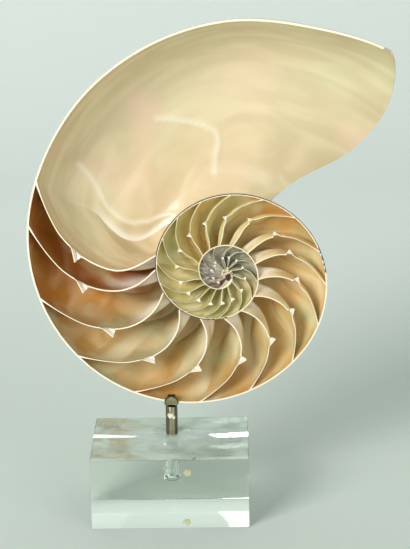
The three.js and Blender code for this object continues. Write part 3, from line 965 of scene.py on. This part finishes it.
def mottled(name, colours, clouds, relief, depth, **values):
    """Material of a base colour and two tints, from their scale and strength, with a relief."""
    made, nodes, shader = material(name, **values)
    tone = clouded(nodes, *colours, *clouds)
    dress(nodes, shader, tone, use(nodes, "relief", **relief), *depth)
    return made


# Materials of the shell

def body_nacre(look):
    made, nodes, shader = material(
        "nacre_body_chamber", Roughness=0.34, Coat_Weight=0.3, Coat_Roughness=0.14)
    growth, share, _ = shell_place(nodes)
    # Darker tan from 2.42 to 2.6 whorls, on the newest septum's bowl, is painted shade
    tone = along_growth(nodes, growth, (
        (2.42, srgb(184, 156, 112)), (2.48, srgb(202, 176, 136)), (2.57, srgb(212, 192, 152)),
        (2.68, look.body_colour), (2.82, look.body_colour), (2.9, srgb(202, 184, 142))))
    rim = nodes.span(share, 0.5, 0.05, 0.0, 0.5)
    tone = nodes.mix(rim, tone, look.body_rim_colour)
    tone = clouded(nodes, tone, srgb(246, 208, 186), srgb(228, 226, 182), 24.0, 0.5)
    streak = use(nodes, "bands", Along=10.0, Round=9.0, Across=3.0, Warp=1.0)
    tone = nodes.mix(nodes.span(streak, 0.4, 0.7, 0.0, 0.3), tone, srgb(255, 240, 204))
    # Painted highlight on the ridges and just in front of the newest septum, read from the mesh
    painted_highlight = nodes.add("ShaderNodeAttribute", attribute_name=RIDGE_HIGHLIGHT_NAME).outputs["Fac"]
    tone = nodes.mix(nodes.times(painted_highlight, 0.95), tone, srgb(255, 252, 234))
    dress(nodes, shader, tone, use(nodes, "relief", Scale=500.0, Coarse=60.0), 0.12, 0.0006)
    return made


def chamber_nacre(look):
    made, nodes, shader = material(
        "nacre_chambers", Roughness=0.32, Coat_Weight=0.3, Coat_Roughness=0.15)
    growth, share, across = shell_place(nodes)
    # Dark brown below 0.4 whorls is painted shade in the small first chamber; dark orange-brown past 2.42
    # whorls is painted shade in the newest chamber under the last septum
    tone = along_growth(nodes, growth, (
        (0.0, srgb(74, 36, 24)), (0.34, srgb(96, 58, 38)), (0.42, look.core_colour),
        (0.75, look.core_colour), (1.0, srgb(160, 157, 134)), (1.12, srgb(188, 186, 134)),
        (1.25, look.inner_colour), (1.5, srgb(196, 184, 116)), (1.7, srgb(242, 218, 146)),
        (2.1, srgb(234, 214, 158)), (2.36, look.chamber_colour), (2.42, srgb(170, 146, 98)),
        (2.46, srgb(168, 96, 38)), (2.55, srgb(166, 82, 24))))
    # Painted shade: darker orange towards the outer wall, in the chambers' shaded corners
    outer = nodes.times(nodes.span(across, 0.5, 1.0), nodes.span(growth, 1.4, 1.9, 0.0, 0.45))
    tone = nodes.mix(outer, tone, look.shade_and_streak_colour)
    # Painted highlight: pearly white near the inner whorl in the newer chambers
    inner = nodes.times(nodes.span(across, 0.42, 0.06), nodes.span(growth, 1.6, 2.1, 0.0, 0.85))
    tone = nodes.mix(inner, tone, srgb(255, 238, 220))
    streak = use(nodes, "bands", Along=26.0, Round=1.5, Across=1.0, Warp=0.35, Seed=4.0)
    streak = nodes.times(nodes.span(streak, 0.46, 0.66, 0.0, 0.6), nodes.span(growth, 2.46, 2.42))
    tone = nodes.mix(streak, tone, srgb(244, 236, 198))
    # Dark streaks of the nacre's own tone, in the same orange
    dark = use(nodes, "bands", Along=21.0, Round=1.5, Across=1.2, Warp=0.35, Seed=11.0)
    dark = nodes.times(nodes.span(dark, 0.48, 0.64, 0.0, 0.6), nodes.span(growth, 1.5, 2.0, 0.15, 1.0))
    tone = nodes.mix(dark, tone, look.shade_and_streak_colour)
    tone = clouded(nodes, tone, srgb(240, 210, 160), srgb(204, 216, 168), 60.0, 0.5)
    purple = use(nodes, "bands", Along=16.0, Round=6.0, Across=5.0, Warp=2.0, Seed=21.0)
    purple = nodes.times(nodes.span(purple, 0.45, 0.6), nodes.span(growth, 1.12, 0.85))
    tone = nodes.mix(nodes.times(purple, 0.7), tone, srgb(136, 120, 136))
    # Painted highlight: a pearly white reflection under the septa near the inner whorl
    pearl = nodes.times(nodes.span(across, 0.66, 0.36), nodes.span(share, 0.15, 0.4))
    pearl = nodes.times(pearl, nodes.span(growth, 1.6, 2.0, 0.0, 0.9))
    tone = nodes.mix(pearl, tone, srgb(255, 248, 236))
    dress(nodes, shader, tone, use(nodes, "relief", Scale=600.0, Coarse=90.0), 0.15, 0.0005)
    return made


def porcelain(look):
    made, nodes, shader = material(
        "porcelain_outside", Roughness=0.32, Coat_Weight=0.4, Coat_Roughness=0.1)
    growth, share, _ = shell_place(nodes)
    band = use(nodes, "bands", Along=30.0, Round=1.6, Across=1.0, Warp=0.5, Seed=9.0)
    fade, near = nodes.span(growth, 2.6, 2.2), nodes.span(share, 0.95, 0.7)
    stripes = nodes.times(nodes.span(band, 0.5, 0.55), nodes.times(fade, near))
    tone = clouded(nodes, look.outside_colour, srgb(240, 220, 196), srgb(230, 228, 208), 40.0, 0.6)
    tone = nodes.mix(stripes, tone, look.stripe_colour)
    lines = nodes.add("ShaderNodeTexWave", {"Scale": 1.0, "Distortion": 1.0}, wave_type="BANDS")
    spot = nodes.add("ShaderNodeCombineXYZ", {0: nodes.times(growth, 60.0)}).outputs[0]
    nodes.feed(lines.inputs["Vector"], spot)
    dress(nodes, shader, tone, lines.outputs["Fac"], 0.1, 0.0004)
    return made


def sawn_edge(look):
    made, nodes, shader = material("sawn_edge", Roughness=0.45)
    growth, _, across = shell_place(nodes)
    tone = along_growth(nodes, growth, (
        (0.0, look.core_colour), (0.2, srgb(214, 200, 164)), (0.9, srgb(236, 222, 178)),
        (1.7, srgb(242, 228, 196)), (2.4, look.edge_colour)))
    septum = nodes.span(across, 1.0, 0.97)
    first = nodes.times(nodes.span(growth, 0.28, 0.38), nodes.span(growth, 0.84, 0.74))
    second = nodes.times(nodes.span(growth, 1.2, 1.34), nodes.span(growth, 1.78, 1.66))
    dull = nodes.times(septum, nodes.math("MAXIMUM", first, second))
    duller = nodes.mix(nodes.span(growth, 0.9, 1.1), srgb(158, 150, 132), srgb(206, 192, 138))
    tone = nodes.mix(nodes.times(dull, 0.8), tone, duller)
    tone = clouded(nodes, tone, srgb(252, 222, 200), srgb(240, 238, 206), 120.0, 0.5)
    spot = nodes.spot()
    core = nodes.span(growth, 0.12, 0.06)
    for seed, low, colour in ((0.0, 0.5, srgb(226, 206, 150)), (0.4, 0.56, srgb(78, 40, 28))):
        moved = nodes.moved(spot, (seed, seed, seed))
        patch = nodes.span(nodes.noise(moved, 800.0, 1.0), low, low + 0.05)
        tone = nodes.mix(nodes.times(patch, core), tone, colour)
    # Painted shade: a dark spot on the flat sawn face where the centre's hollow lies open
    hollow = nodes.distance(spot, Vector(CORE_HOLLOW_SHADE) * MM)
    hollow = nodes.plus(hollow, nodes.times(nodes.noise(spot, 900.0, 2.0), 0.0012))
    tone = nodes.mix(nodes.span(hollow, 0.0022, 0.0017), tone, srgb(62, 30, 20))
    dress(nodes, shader, tone, use(nodes, "relief", Scale=1800.0, Coarse=300.0), 0.2, 0.0002)
    return made


def neck_nacre(look):
    made, nodes, shader = material("siphon_neck", Roughness=0.24, Coat_Weight=0.4, Coat_Roughness=0.1)
    growth, share, _ = shell_place(nodes)
    # Painted shade: tan in the grooves between the flutes; the white between them reads as painted
    # highlights
    wave = nodes.math("COSINE", nodes.times(share, 2 * math.pi * FLUTES))
    flute_shade = nodes.times(nodes.span(wave, -0.2, 0.9), nodes.span(growth, 1.6, 2.2, 0.1, 0.6))
    tone = nodes.mix(flute_shade, srgb(255, 250, 236), srgb(172, 158, 124))
    tone = clouded(nodes, tone, srgb(250, 224, 196), srgb(238, 240, 214), 150.0, 0.5)
    dress(nodes, shader, tone, use(nodes, "relief", Scale=1500.0, Coarse=250.0), 0.2, 0.0003)
    return made


def dark_film(look):
    colours = (look.film_colour, srgb(112, 80, 60), srgb(110, 120, 132))
    return mottled("dark_film", colours, (200.0, 0.8), {"Scale": 1500.0}, (0.2, 0.0002), Roughness=0.5)


def lip_porcelain(look):
    colours = (srgb(240, 224, 192), srgb(186, 140, 104), srgb(226, 222, 196))
    return mottled("lip_edge", colours, (90.0, 0.7), {"Scale": 900.0}, (0.2, 0.0003),
                   Roughness=0.35, Coat_Weight=0.3, Coat_Roughness=0.15)


# One material for each of KINDS, in the same order
SHELL_MATERIALS = (
    porcelain, body_nacre, chamber_nacre, neck_nacre, sawn_edge, dark_film, lip_porcelain,
)


# Materials of the stand and the stage

def clear_acrylic(look):
    made, nodes, shader = material("clear_acrylic", IOR=1.49, Transmission_Weight=1.0)
    spot = nodes.spot()
    x, _, z = nodes.parts(spot)
    top = nodes.span(z, BLOCK_HEIGHT * MM - 0.0006, BLOCK_HEIGHT * MM - 0.0002)
    streaky = nodes.stretched(spot, (0.35, 1.0, 1.0))
    smear = nodes.span(nodes.noise(streaky, 90.0, 3.0, 0.6, 0.6), 0.42, 0.7)
    left = nodes.span(x, 0.004, -0.024, 0.15, 1.0)
    cloudy = nodes.times(nodes.times(smear, left), top)
    tone = nodes.mix(cloudy, look.block_colour, look.block_stain_colour)
    nodes.feed(shader.inputs["Roughness"], nodes.span(cloudy, 0.0, 1.0, 0.02, 0.32))
    scratch = nodes.stretched(spot, (0.12, 1.0, 1.0))
    height = nodes.times(nodes.noise(scratch, 700.0, 3.0, 0.6), top)
    dress(nodes, shader, tone, height, 0.06, 0.0003)
    return made


def top_haze_and_light(look):
    """Dried smears and dust on the block's top, seen through where they are thin. Their pale mint tone is
    partly painted light, standing in for the light that passes through the block to its top.
    """
    made, nodes, shader = material("top_haze_and_light", Roughness=0.45)
    spot = nodes.spot()
    x = nodes.parts(spot)["X"]
    streaky = nodes.stretched(spot, (0.3, 1.0, 1.0))
    smear = nodes.noise(streaky, 130.0, 4.0, 0.6, 0.8)
    cloud = nodes.noise(spot, 60.0, 2.0, 0.5, 0.4)
    tone = nodes.mix(nodes.span(x, 0.0, -0.02), look.haze_and_light_colour, look.block_stain_colour)
    # Pale mint patches: partly dust, partly painted light seen through the block's top
    tone = nodes.mix(nodes.span(cloud, 0.4, 0.6), tone, srgb(232, 252, 242))
    streaks, patches = nodes.span(smear, 0.3, 0.7, 0.05, 0.25), nodes.span(cloud, 0.35, 0.65, 0.16, 0.46)
    nodes.feed(shader.inputs["Alpha"], nodes.plus(streaks, patches))
    dress(nodes, shader, tone, smear, 0.2, 0.0002)
    return made


def glue(look):
    colours = (look.glue_colour, srgb(240, 230, 150), srgb(250, 248, 214))
    return mottled("dried_glue", colours, (900.0, 0.7), {"Scale": 2000.0}, (0.3, 0.0002), Roughness=0.5)


def dark_steel(look):
    made, nodes, shader = material("dark_steel", Metallic=1.0)
    spot = nodes.spot()
    drawn = nodes.stretched(spot, (1.0, 1.0, 0.06))
    streak = nodes.noise(drawn, 1100.0, 3.0, 0.6)
    tone = nodes.mix(nodes.span(streak, 0.3, 0.7), look.post_dark_colour, look.post_light_colour)
    stain = nodes.span(nodes.noise(spot, 240.0, 3.0, 0.6, 0.8), 0.5, 0.7)
    tone = nodes.mix(nodes.times(stain, 0.5), tone, srgb(96, 74, 52))
    large = use(nodes, "bright_spots", Centre=(-0.0001, 0.0043, 0.0385), Reach=0.0024, Scale=1100.0)
    small = use(nodes, "bright_spots", Centre=(0.0014, 0.0044, 0.0376), Reach=0.0014, Scale=1600.0)
    bright_spots = nodes.math("MAXIMUM", large, small)
    tone = nodes.mix(bright_spots, tone, srgb(226, 216, 196))
    nodes.feed(shader.inputs["Metallic"], nodes.span(bright_spots, 0.0, 1.0, 1.0, 0.3))
    nodes.feed(shader.inputs["Roughness"], nodes.span(streak, 0.3, 0.7, 0.28, 0.4))
    dress(nodes, shader, tone, nodes.math("SUBTRACT", streak, bright_spots), 0.2, 0.0001)
    return made


CLIP_RELIEF = {"Scale": 1800.0, "Coarse": 500.0}


def clip_face(look):
    colours = (look.clip_colour, srgb(120, 104, 74), srgb(150, 154, 136))
    return mottled("clip_face", colours, (260.0, 0.8), CLIP_RELIEF, (0.25, 0.0001),
                   Metallic=0.6, Roughness=0.42)


def clip_rim(look):
    # Darker metal, whose darkness is partly painted shade of the gap around the plate and under the shell
    colours = (look.clip_rim_shade_colour, srgb(90, 66, 44), srgb(84, 84, 70))
    return mottled("clip_rim", colours, (400.0, 0.8), CLIP_RELIEF, (0.2, 0.0001),
                   Metallic=0.8, Roughness=0.45)


def backdrop_paper(look):
    made, nodes, shader = material("backdrop", Roughness=0.9)
    spot = nodes.spot()
    y = nodes.parts(spot)["Y"]
    # The paper's floor is painted darker than its wall: painted shade on one sheet of paper, with a soft
    # fade between
    tone = nodes.mix(nodes.span(y, -0.05, 0.5), look.shaded_floor_colour, look.wall_colour)
    shade = nodes.span(nodes.noise(spot, 1.2, 1.0), 0.35, 0.65, 0.0, 0.06)
    nodes.feed(shader.inputs["Base Color"], nodes.mix(shade, tone, srgb(190, 198, 192)))
    return made


# Pieces

def settle(piece, slot_name, *nodes):
    """Ties a piece to the object: its body and the solids that it stands for. The slot name is not used.
    """
    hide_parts(*nodes)
    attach(piece, "root")


def new_object(name, mesh):
    made = bpy.data.objects.new(name, mesh)
    bpy.context.scene.collection.objects.link(made)
    return made


def smooth_mesh(bm, name, sharp=30):
    bmesh.ops.recalc_face_normals(bm, faces=bm.faces)
    mesh = bpy.data.meshes.new(name)
    bm.to_mesh(mesh)
    bm.free()
    for face in mesh.polygons:
        face.use_smooth = True
    mesh.set_sharp_from_angle(angle=math.radians(sharp))
    return mesh


def soften(bm, edges, width):
    """Bevels edges by a width in millimetres."""
    return bmesh.ops.bevel(bm, geom=edges, offset=width * MM, segments=2, profile=0.6, affect="EDGES")


def bridge(bm, low, high, kind=0):
    """Faces between two closed rings of vertices. A ring of one vertex is a tip."""
    count = max(len(low), len(high))
    for k in range(count):
        a, b = low[k % len(low)], low[(k + 1) % len(low)]
        c, d = high[(k + 1) % len(high)], high[k % len(high)]
        ends = list(dict.fromkeys((a, b, c, d)))
        if len(ends) > 2:
            bm.faces.new(ends).material_index = kind


def lathe(bm, profile, centre, sides):
    """Turned solid from (radius, height) pairs, in millimetres, around a vertical axis."""
    rings = []
    for radius, height in profile:
        turns = [2 * math.pi * k / sides for k in range(sides if radius > 0 else 1)]
        spots = [(centre[0] + radius * math.cos(t), centre[1] + radius * math.sin(t)) for t in turns]
        rings.append([bm.verts.new(Vector((x, y, height)) * MM) for x, y in spots])
    for low, high in zip(rings, rings[1:]):
        bridge(bm, low, high)


def drilled_block(name):
    """Clear block with softened edges and a drilled hole that flares at its bottom."""
    bm = bmesh.new()
    size = Matrix.Diagonal((BLOCK_WIDTH * MM, BLOCK_DEPTH * MM, BLOCK_HEIGHT * MM, 1))
    lift = Matrix.Translation((0, 0, BLOCK_HEIGHT / 2 * MM))
    bmesh.ops.create_cube(bm, size=1, matrix=lift @ size)
    soften(bm, bm.edges[:], BLOCK_BEVEL)
    block = new_object(name, smooth_mesh(bm, name))
    top, floor = BLOCK_HEIGHT + 2, BLOCK_HEIGHT - HOLE_DEPTH
    collar = floor + HOLE_COLLAR_HEIGHT
    profile = [(0, top), (HOLE_RADIUS, top), (HOLE_RADIUS, collar + 0.5),
               (HOLE_COLLAR_RADIUS, collar), (HOLE_COLLAR_RADIUS, floor + 0.3),
               (HOLE_COLLAR_RADIUS - 0.3, floor), (0, floor - 0.6)]
    bm = bmesh.new()
    lathe(bm, profile, (POST_X, CUT_Y), TURNED_SIDES)
    drill = new_object("drill", smooth_mesh(bm, "drill"))
    cut = block.modifiers.new("hole", "BOOLEAN")
    cut.object, cut.operation, cut.solver = drill, "DIFFERENCE", "EXACT"
    bpy.context.view_layer.update()
    cut_block = block.evaluated_get(bpy.context.evaluated_depsgraph_get())
    cut_mesh = bpy.data.meshes.new_from_object(cut_block)
    block.modifiers.clear()
    bpy.data.objects.remove(drill)
    bm = bmesh.new()
    bm.from_mesh(cut_mesh)
    for face in bm.faces:
        face.material_index = 0
    add_glue(bm, 1)
    add_haze(bm, 2)
    block.data = smooth_mesh(bm, name, 25)
    return block


def add_glue(bm, kind):
    """Lumpy specks of dried glue."""
    for spot, size in GLUE_SPECKS:
        centre = Vector(spot) * MM
        flat = Matrix.Translation(centre) @ Matrix.Diagonal((*[s * MM for s in size], 1))
        made = bmesh.ops.create_icosphere(bm, subdivisions=3, radius=1, matrix=flat)
        for vertex in made["verts"]:
            away = vertex.co - centre
            wave = math.sin(away.x * GLUE_LUMPS_X + 1) * math.cos(away.z * GLUE_LUMPS_Z)
            lump = 1 + GLUE_LUMP * wave
            vertex.co = centre + Vector((away.x * lump, away.y, away.z * lump))
            for face in vertex.link_faces:
                face.material_index = kind


def add_haze(bm, kind):
    """Sheet just above the block's top, with a gap for the hole."""
    half_x, half_y = BLOCK_WIDTH / 2 - HAZE_INSET, BLOCK_DEPTH / 2 - HAZE_INSET
    corners = ((half_x, half_y), (-half_x, half_y), (-half_x, -half_y), (half_x, -half_y))
    count = HAZE_STEPS * len(corners)
    turns = [math.pi / 4 + 2 * math.pi * k / count for k in range(count)]
    rim = [(POST_X + HOLE_RADIUS * math.cos(t), CUT_Y + HOLE_RADIUS * math.sin(t)) for t in turns]
    inner, outer = ([bm.verts.new(Vector((x, y, BLOCK_HEIGHT + HAZE_LIFT)) * MM) for x, y in line]
                    for line in (rim, corners))
    for k in range(count):
        side, step = divmod(k, HAZE_STEPS)
        ends = [inner[k], outer[side]]
        if step == HAZE_STEPS - 1:
            ends.append(outer[(side + 1) % len(outer)])
        ends.append(inner[(k + 1) % count])
        bm.faces.new(ends).material_index = kind


def post_mesh(name):
    """Round rod from inside the block up to the clip."""
    bottom = BLOCK_HEIGHT - POST_IN_BLOCK
    bm = bmesh.new()
    profile = [(0, bottom), (POST_RADIUS - POST_BEVEL, bottom), (POST_RADIUS, bottom + POST_BEVEL),
               (POST_RADIUS, POST_TOP - 0.3), (POST_RADIUS - 0.1, POST_TOP - 0.1),
               (POST_RADIUS - POST_BEVEL, POST_TOP), (0, POST_TOP)]
    lathe(bm, profile, (POST_X, CUT_Y), TURNED_SIDES)
    return smooth_mesh(bm, name)


def inset_by(value, scale, inset):
    """A value scaled, and then brought nearer to zero by as much as it has."""
    return value * scale - math.copysign(min(inset, abs(value)), value)


def clip_mesh(name):
    """Shield-shaped front plate with a raised rim and two prongs that reach behind it. Rim and prongs take
    the darker metal, partly painted shade of the gap around the plate and under the shell.
    """
    bm = bmesh.new()
    rings = []
    for scale, inset, behind in CLIP_RINGS:
        ring = []
        for x, z in CLIP_OUTLINE:
            wide, high = inset_by(x, scale, inset), inset_by(z - CLIP_MIDDLE_Z, scale, inset)
            spot = Vector((POST_X + wide, CLIP_FRONT_Y + behind, CLIP_MIDDLE_Z + high))
            ring.append(bm.verts.new(spot * MM))
        rings.append(ring)
    for k, (low, high) in enumerate(zip(rings, rings[1:])):
        bridge(bm, low, high, 0 if k >= CLIP_FACE_FROM_RING else 1)
    bm.faces.new(rings[0]).material_index = 1
    bm.faces.new(rings[-1]).material_index = 0
    start = CLIP_FRONT_Y + CLIP_PRONG_START
    for reach, low in ((CLIP_BACK_Y, CLIP_LOW_Z), (CLIP_UPPER_REACH_Y, CLIP_UPPER_Z)):
        made = bmesh.ops.create_cube(bm, size=1)["verts"]
        for vertex in made:
            x, y, z = vertex.co + Vector((0, 0.5, 0.5))
            vertex.co = Vector((POST_X + x * CLIP_PRONG_WIDTH, start + y * (reach - start),
                                low + z * CLIP_THICK)) * MM
        edges = list(dict.fromkeys(e for v in made for e in v.link_edges))
        bevelled = soften(bm, edges, CLIP_BEVEL)
        for face in {f for v in bevelled["verts"] for f in v.link_faces} | set(bevelled["faces"]):
            face.material_index = 1
    return smooth_mesh(bm, name, 32)


def camera_axes():
    """Directions across and up the picture, and the way that the camera looks."""
    pan, tilt, roll = (math.radians(a) for a in (CAMERA_PAN, CAMERA_TILT, CAMERA_ROLL))
    forward = Vector((math.sin(pan) * math.cos(tilt), math.cos(pan) * math.cos(tilt), -math.sin(tilt)))
    right = Vector((math.cos(pan), -math.sin(pan), 0))
    up = right.cross(forward)
    across = math.cos(roll) * right + math.sin(roll) * up
    high = -math.sin(roll) * right + math.cos(roll) * up
    return across, high, forward


def add_camera():
    data = bpy.data.cameras.new("camera")
    data.lens, data.sensor_width = CAMERA_LENS, CAMERA_SENSOR
    camera = new_object("camera", data)
    across, high, forward = camera_axes()
    turn = Matrix((across, high, -forward)).transposed().to_4x4()
    camera.matrix_world = Matrix.Translation(Vector(CAMERA_PLACE) * MM) @ turn
    data.clip_start, data.clip_end = CAMERA_NEAR, CAMERA_FAR
    bpy.context.scene.camera = camera


def backdrop_mesh(name):
    """Seamless paper: flat under the object, then a wide bend up to a wall behind it."""
    bm = bmesh.new()
    start, bend = PAPER_BEND_START, PAPER_BEND
    sides = ramp(-PAPER_HALF_WIDTH, PAPER_HALF_WIDTH, PAPER_CELLS)
    turns = ramp(0.08, math.pi / 2, 15)
    line = [(y, 0.0) for y in (PAPER_FRONT, PAPER_FRONT / 2, 0.0, start)]
    line += [(start + bend * math.sin(a), bend - bend * math.cos(a)) for a in turns]
    line += [(start + bend, PAPER_TOP)]
    rows = [[bm.verts.new((x, y, z - PAPER_BELOW)) for x in sides] for y, z in line]
    for a, b in zip(rows, rows[1:]):
        for k in range(len(a) - 1):
            bm.faces.new((a[k], a[k + 1], b[k + 1], b[k]))
    return smooth_mesh(bm, name, 60)


def add_light(name, spot, size, power, colour):
    data = bpy.data.lights.new(name, "AREA")
    data.shape, data.size, data.energy, data.color = "SQUARE", size, power, colour
    light = new_object(name, data)
    light.location = spot
    aim = Vector(LIGHT_TARGET) - Vector(spot)
    light.rotation_euler = aim.to_track_quat("-Z", "Y").to_euler()


# Settings that a user would change

def colour_setting(name, description, red, green, blue):
    return bpy.props.FloatVectorProperty(
        name=name, description=description, default=srgb(red, green, blue), subtype="COLOR",
        size=4, min=0, max=1)


class NautilusShellSettings(bpy.types.PropertyGroup):
    ridge_height: bpy.props.FloatProperty(
        name="Ridge height", description="Height of the low ridges inside the body chamber",
        default=0.5 * MM, min=0, max=1.0 * MM, precision=5, unit="LENGTH")
    film_width: bpy.props.FloatProperty(
        name="Film width", description="Width of the dark film along the inner whorl's sawn edge",
        default=0.42 * MM, min=0.1 * MM, max=0.5 * MM, precision=5, unit="LENGTH")
    body_colour: colour_setting("Body chamber", "Nacre of the open body chamber", 221, 204, 165)
    body_rim_colour: colour_setting("Body chamber rim", "Nacre near the body chamber's rim", 208, 180, 128)
    chamber_colour: colour_setting("Large chambers", "Nacre of the newest gas chambers", 188, 182, 142)
    inner_colour: colour_setting("Inner chambers", "Nacre of the inner whorl's chambers", 192, 186, 122)
    core_colour: colour_setting("Centre", "Grey pearly film at the centre", 134, 130, 116)
    # Painted shade near the chambers' outer wall, and the colour of their dark streaks
    shade_and_streak_colour: colour_setting("Orange shade and streaks", "Painted shade towards the chambers' outer wall, and their dark streaks", 204, 148, 66)
    edge_colour: colour_setting("Sawn edges", "Bare sawn shell", 248, 236, 214)
    film_colour: colour_setting("Film", "Dark film on the inner whorl", 66, 58, 56)
    outside_colour: colour_setting("Outside", "Porcelain outside of the shell", 243, 234, 214)
    stripe_colour: colour_setting("Stripes", "Flame stripes on the outside", 152, 74, 40)


class NautilusStandSettings(bpy.types.PropertyGroup):
    block_colour: colour_setting("Block", "Clear block", 246, 252, 247)
    # Pale mint of the top's sheet: dried smears, and painted light seen through the block
    haze_and_light_colour: colour_setting("Haze", "Dried smears on the block's top, and painted light", 226, 248, 238)
    block_stain_colour: colour_setting("Block smears", "Yellowed smears on the block's top", 236, 222, 180)
    glue_colour: colour_setting("Glue", "Specks of dried glue", 255, 252, 206)
    post_dark_colour: colour_setting("Post streaks", "Darker streaks of the post", 98, 90, 70)
    post_light_colour: colour_setting("Post", "Lighter steel of the post", 158, 152, 128)
    clip_colour: colour_setting("Clip", "Face of the clip", 150, 142, 108)
    # Darker metal of the rim and prongs, partly painted shade
    clip_rim_shade_colour: colour_setting("Clip rim", "Rim and prongs of the clip", 62, 50, 36)


class NautilusStageSettings(bpy.types.PropertyGroup):
    # Floor of the paper, painted darker than the wall as painted shade
    shaded_floor_colour: colour_setting("Floor", "Seamless paper under the object", 216, 227, 220)
    wall_colour: colour_setting("Wall", "Seamless paper behind the object", 246, 254, 249)
    key_power: bpy.props.FloatProperty(
        name="Key light", description="Power of the large soft light", default=26, min=0, unit="POWER")
    fill_power: bpy.props.FloatProperty(
        name="Fill light", description="Power of the weak light low on the right", default=6, min=0,
        unit="POWER")
    sky_strength: bpy.props.FloatProperty(
        name="Sky", description="Strength of the even light from all around", default=0.34, min=0)


class NAUTILUS_OT_shell(bpy.types.Operator):
    """Builds the sawn shell half with its chambers, septa and siphon necks"""
    bl_idname = "nautilus.shell"
    bl_label = "Build shell"

    def execute(self, context):
        look = context.scene.nautilus_shell
        shell = new_object("shell", shell_mesh("shell", look.ridge_height / MM, look.film_width / MM))
        for make in SHELL_MATERIALS:
            shell.data.materials.append(make(look))
        settle(shell, "nacre_shell", "shell_half")
        return {"FINISHED"}


class NAUTILUS_OT_block(bpy.types.Operator):
    """Builds the drilled clear block with its specks of dried glue and its smears"""
    bl_idname = "nautilus.block"
    bl_label = "Build block"

    def execute(self, context):
        look = context.scene.nautilus_stand
        block = drilled_block("block")
        for make in (clear_acrylic, glue, top_haze_and_light):
            block.data.materials.append(make(look))
        settle(block, "clear_acrylic", "acrylic_block")
        return {"FINISHED"}


class NAUTILUS_OT_fittings(bpy.types.Operator):
    """Builds the steel post and the clip that grips the shell"""
    bl_idname = "nautilus.fittings"
    bl_label = "Build post and clip"

    def execute(self, context):
        look = context.scene.nautilus_stand
        post = new_object("steel_post", post_mesh("steel_post"))
        post.data.materials.append(dark_steel(look))
        settle(post, "steel_post", "post")
        clip = new_object("shell_clip", clip_mesh("shell_clip"))
        for make in (clip_face, clip_rim):
            clip.data.materials.append(make(look))
        settle(clip, "clip_metal", "clip")
        return {"FINISHED"}


class NAUTILUS_OT_stage(bpy.types.Operator):
    """Builds the paper, the lights and the camera"""
    bl_idname = "nautilus.stage"
    bl_label = "Build stage"

    def execute(self, context):
        look = context.scene.nautilus_stage
        paper = new_object("backdrop", backdrop_mesh("backdrop"))
        paper.data.materials.append(backdrop_paper(look))
        add_light("key", KEY_PLACE, KEY_SIZE, look.key_power, KEY_COLOUR)
        add_light("fill", FILL_PLACE, FILL_SIZE, look.fill_power, FILL_COLOUR)
        world = bpy.data.worlds.new("studio")
        world.use_nodes = True
        sky = world.node_tree.nodes["Background"].inputs
        sky["Color"].default_value = SKY_COLOUR
        sky["Strength"].default_value = look.sky_strength
        context.scene.world = world
        context.scene.view_settings.view_transform = "Standard"
        add_camera()
        return {"FINISHED"}


OPERATORS = (NAUTILUS_OT_shell, NAUTILUS_OT_block, NAUTILUS_OT_fittings, NAUTILUS_OT_stage)


class NAUTILUS_PT_panel(bpy.types.Panel):
    """Lists the settings and the steps that build the object"""
    bl_idname = "NAUTILUS_PT_panel"
    bl_label = "Nautilus shell"
    bl_space_type = "VIEW_3D"
    bl_region_type = "UI"
    bl_category = "Nautilus"

    def draw(self, context):
        for operator in OPERATORS:
            self.layout.operator(operator.bl_idname)
        for name in SETTINGS:
            group = getattr(context.scene, name)
            box = self.layout.box()
            for prop in group.bl_rna.properties:
                if prop.identifier not in ("name", "rna_type"):
                    box.prop(group, prop.identifier)


SETTINGS = {
    "nautilus_shell": NautilusShellSettings,
    "nautilus_stand": NautilusStandSettings,
    "nautilus_stage": NautilusStageSettings,
}
CLASSES = (*SETTINGS.values(), *OPERATORS, NAUTILUS_PT_panel)


def register():
    for entry in CLASSES:
        bpy.utils.register_class(entry)
    for name, group in SETTINGS.items():
        setattr(bpy.types.Scene, name, bpy.props.PointerProperty(type=group))


def unregister():
    for name in SETTINGS:
        delattr(bpy.types.Scene, name)
    for entry in reversed(CLASSES):
        bpy.utils.unregister_class(entry)


def main():
    register()
    bpy.ops.nautilus.shell()
    bpy.ops.nautilus.block()
    bpy.ops.nautilus.fittings()
    bpy.ops.nautilus.stage()


if __name__ == "__main__":
    main()
